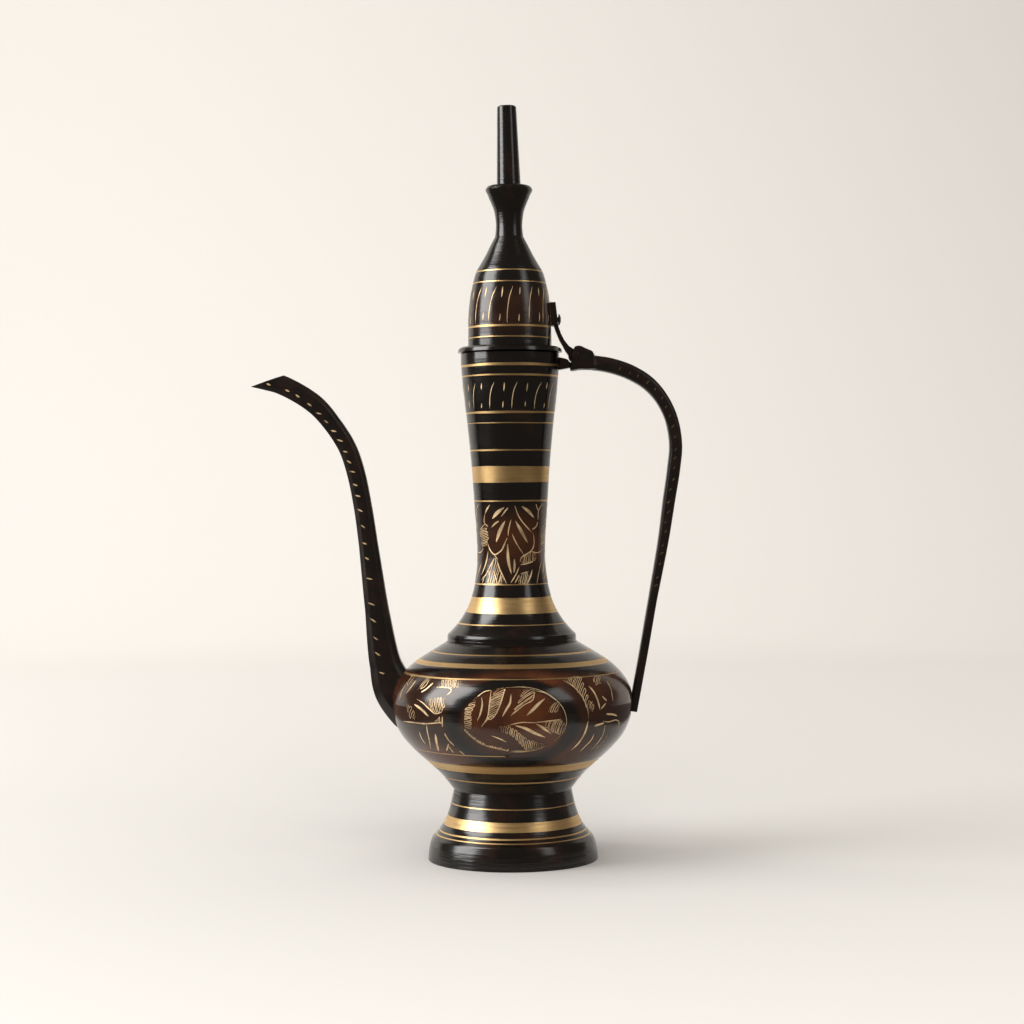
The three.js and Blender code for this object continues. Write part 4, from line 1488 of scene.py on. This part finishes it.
class EWER_OT_stage(Undoable, bpy.types.Operator):
    """Set the cream floor, the soft lamps and the camera"""

    bl_idname = "ewer.stage"
    bl_label = "Stage"

    def execute(self, context):
        scene = context.scene
        stage = scene.ewer_stage
        add_backdrop()
        add_lamp("key_lamp", (-1.29, -0.4, 0.92), (0, 0, 0.16), (1.0, 1.45), stage.key_power)
        add_lamp("fill_lamp", (0.95, -0.72, 0.85), (0, 0, 0.18), (0.35, 0.9), stage.fill_power)
        hidden = (
            add_lamp("top_lamp", (0, 0.3, 1.9), (0, 0.1, 0), (1.8, 1.8), 24.0),
            add_lamp("front_lamp", (0.1, -1.3, 1.2), (0, 0.1, 0), (1.2, 0.8), 26.0),
            add_lamp("wall_lamp", (-1.5, 0.6, 2.0), (-1.3, 2.0, 0.7), (1.6, 0.6), 30.0),
        )
        for lamp in hidden:
            lamp.visible_glossy = False
            lamp.data.color = (1, 0.965, 0.92)
        scene.world = make_room()
        camera = bpy.data.cameras.new("camera")
        camera.lens = stage.lens
        camera.sensor_width = 36
        eye = bpy.data.objects.new("camera", camera)
        eye.location = (AXIS_X + 0.5 * MM, -EYE_DISTANCE, EYE_HEIGHT)
        dip = 0.6
        pitch = Euler((math.radians(90 - dip), 0, 0))
        roll = Euler((0, 0, math.radians(-0.37)))
        eye.rotation_euler = (pitch.to_matrix() @ roll.to_matrix()).to_euler()
        scene.collection.objects.link(eye)
        scene.camera = eye
        scene.view_settings.view_transform = "Standard"
        return {"FINISHED"}


def make_room():
    """Pale surroundings, which the gloss of the lacquer and the brass sees dim, as in a dark studio."""
    world = bpy.data.worlds.new("pale_room")
    world.use_nodes = True
    nodes = world.node_tree.nodes
    links = world.node_tree.links
    choice = nodes.new("ShaderNodeMixShader")
    pale = nodes.new("ShaderNodeBackground")
    dim = nodes["Background"]
    looks = ((pale, (1, 0.925, 0.85, 1), 0.6), (dim, (1, 0.88, 0.76, 1), 0.145))
    for place, (background, colour, strength) in enumerate(looks, 1):
        background.inputs["Color"].default_value = colour
        background.inputs["Strength"].default_value = strength
        links.new(background.outputs["Background"], choice.inputs[place])
    rays = nodes.new("ShaderNodeLightPath")
    links.new(rays.outputs["Is Glossy Ray"], choice.inputs["Fac"])
    links.new(choice.outputs["Shader"], nodes["World Output"].inputs["Surface"])
    return world


def add_backdrop():
    """Floor that curves up into a wall behind. Its outer parts leave no reflection in the lacquer."""
    wide = 3.0
    near = 0.2
    front = -0.14
    edge = -2.6
    back = 0.6
    far = 1.1
    bend = 0.9
    top = 3.0
    count = 16
    rows = [(back, 0.0), (far, 0.0)]
    for i in range(1, count + 1):
        angle = math.pi / 2 * i / count
        rows.append((far + bend * math.sin(angle), bend - bend * math.cos(angle)))
    rows.append((far + bend, top))
    middle = [(front, 0.0), (back, 0.0)]
    add_sheet("backdrop", -wide, wide, rows)
    add_sheet("near_floor", -near, near, middle)
    outer = (
        add_sheet("left_floor", -wide, -near, middle),
        add_sheet("right_floor", near, wide, middle),
        add_sheet("front_floor", -wide, wide, [(edge, 0.0), (front, 0.0)]),
    )
    for sheet in outer:
        sheet.visible_glossy = False


def add_sheet(name, left, right, rows):
    """Cream sheet through (y, z) rows."""
    points = [(x, y, z) for y, z in rows for x in (left, right)]
    faces = [(2 * i, 2 * i + 1, 2 * i + 3, 2 * i + 2) for i in range(len(rows) - 1)]
    mesh = bpy.data.meshes.new(name)
    mesh.from_pydata(points, [], faces)
    mesh.materials.append(finish("cream"))
    smooth(mesh)
    sheet = add_object(name, mesh)
    return sheet


def add_lamp(name, place, target, size, power):
    lamp = bpy.data.lights.new(name, "AREA")
    lamp.shape = "RECTANGLE"
    lamp.size = size[0]
    lamp.size_y = size[1]
    lamp.energy = power
    lamp.color = (1, 0.99, 0.972)
    holder = bpy.data.objects.new(name, lamp)
    holder.location = place
    aim = Vector(target) - Vector(place)
    holder.rotation_euler = aim.to_track_quat("-Z", "Y").to_euler()
    holder.visible_camera = False
    bpy.context.scene.collection.objects.link(holder)
    return holder


OPERATORS = (
    EWER_OT_stage, EWER_OT_foot, EWER_OT_bowls, EWER_OT_collar, EWER_OT_neck, EWER_OT_rim, EWER_OT_lid,
    EWER_OT_finial, EWER_OT_spout, EWER_OT_handle, EWER_OT_hinge, EWER_OT_hooks, EWER_OT_foliage,
    EWER_OT_nicks,
)


class EWER_PT_sidebar(bpy.types.Panel):
    """Lists the ewer's sizes, colours and pieces"""

    bl_idname = "EWER_PT_sidebar"
    bl_label = "Lacquered Ewer"
    bl_space_type = "VIEW_3D"
    bl_region_type = "UI"
    bl_category = "Ewer"

    def draw(self, context):
        scene = context.scene
        for group in (scene.ewer_shell, scene.ewer_cuts, scene.ewer_finish, scene.ewer_stage):
            box = self.layout.box()
            for name in group.__annotations__:
                box.prop(group, name)
        for operator in OPERATORS:
            self.layout.operator(operator.bl_idname)


SETTINGS = {
    "ewer_shell": EwerShellSettings,
    "ewer_cuts": EwerCutSettings,
    "ewer_finish": EwerFinishSettings,
    "ewer_stage": EwerStageSettings,
}
CLASSES = (*SETTINGS.values(), *OPERATORS, EWER_PT_sidebar)


def register():
    for kind in CLASSES:
        bpy.utils.register_class(kind)
    for name, group in SETTINGS.items():
        setattr(bpy.types.Scene, name, bpy.props.PointerProperty(type=group))


def unregister():
    for name in SETTINGS:
        delattr(bpy.types.Scene, name)
    for kind in reversed(CLASSES):
        bpy.utils.unregister_class(kind)


def main():
    register()
    for operator in OPERATORS:
        group, action = operator.bl_idname.split(".")
        getattr(getattr(bpy.ops, group), action)()


if __name__ == "__main__":
    main()
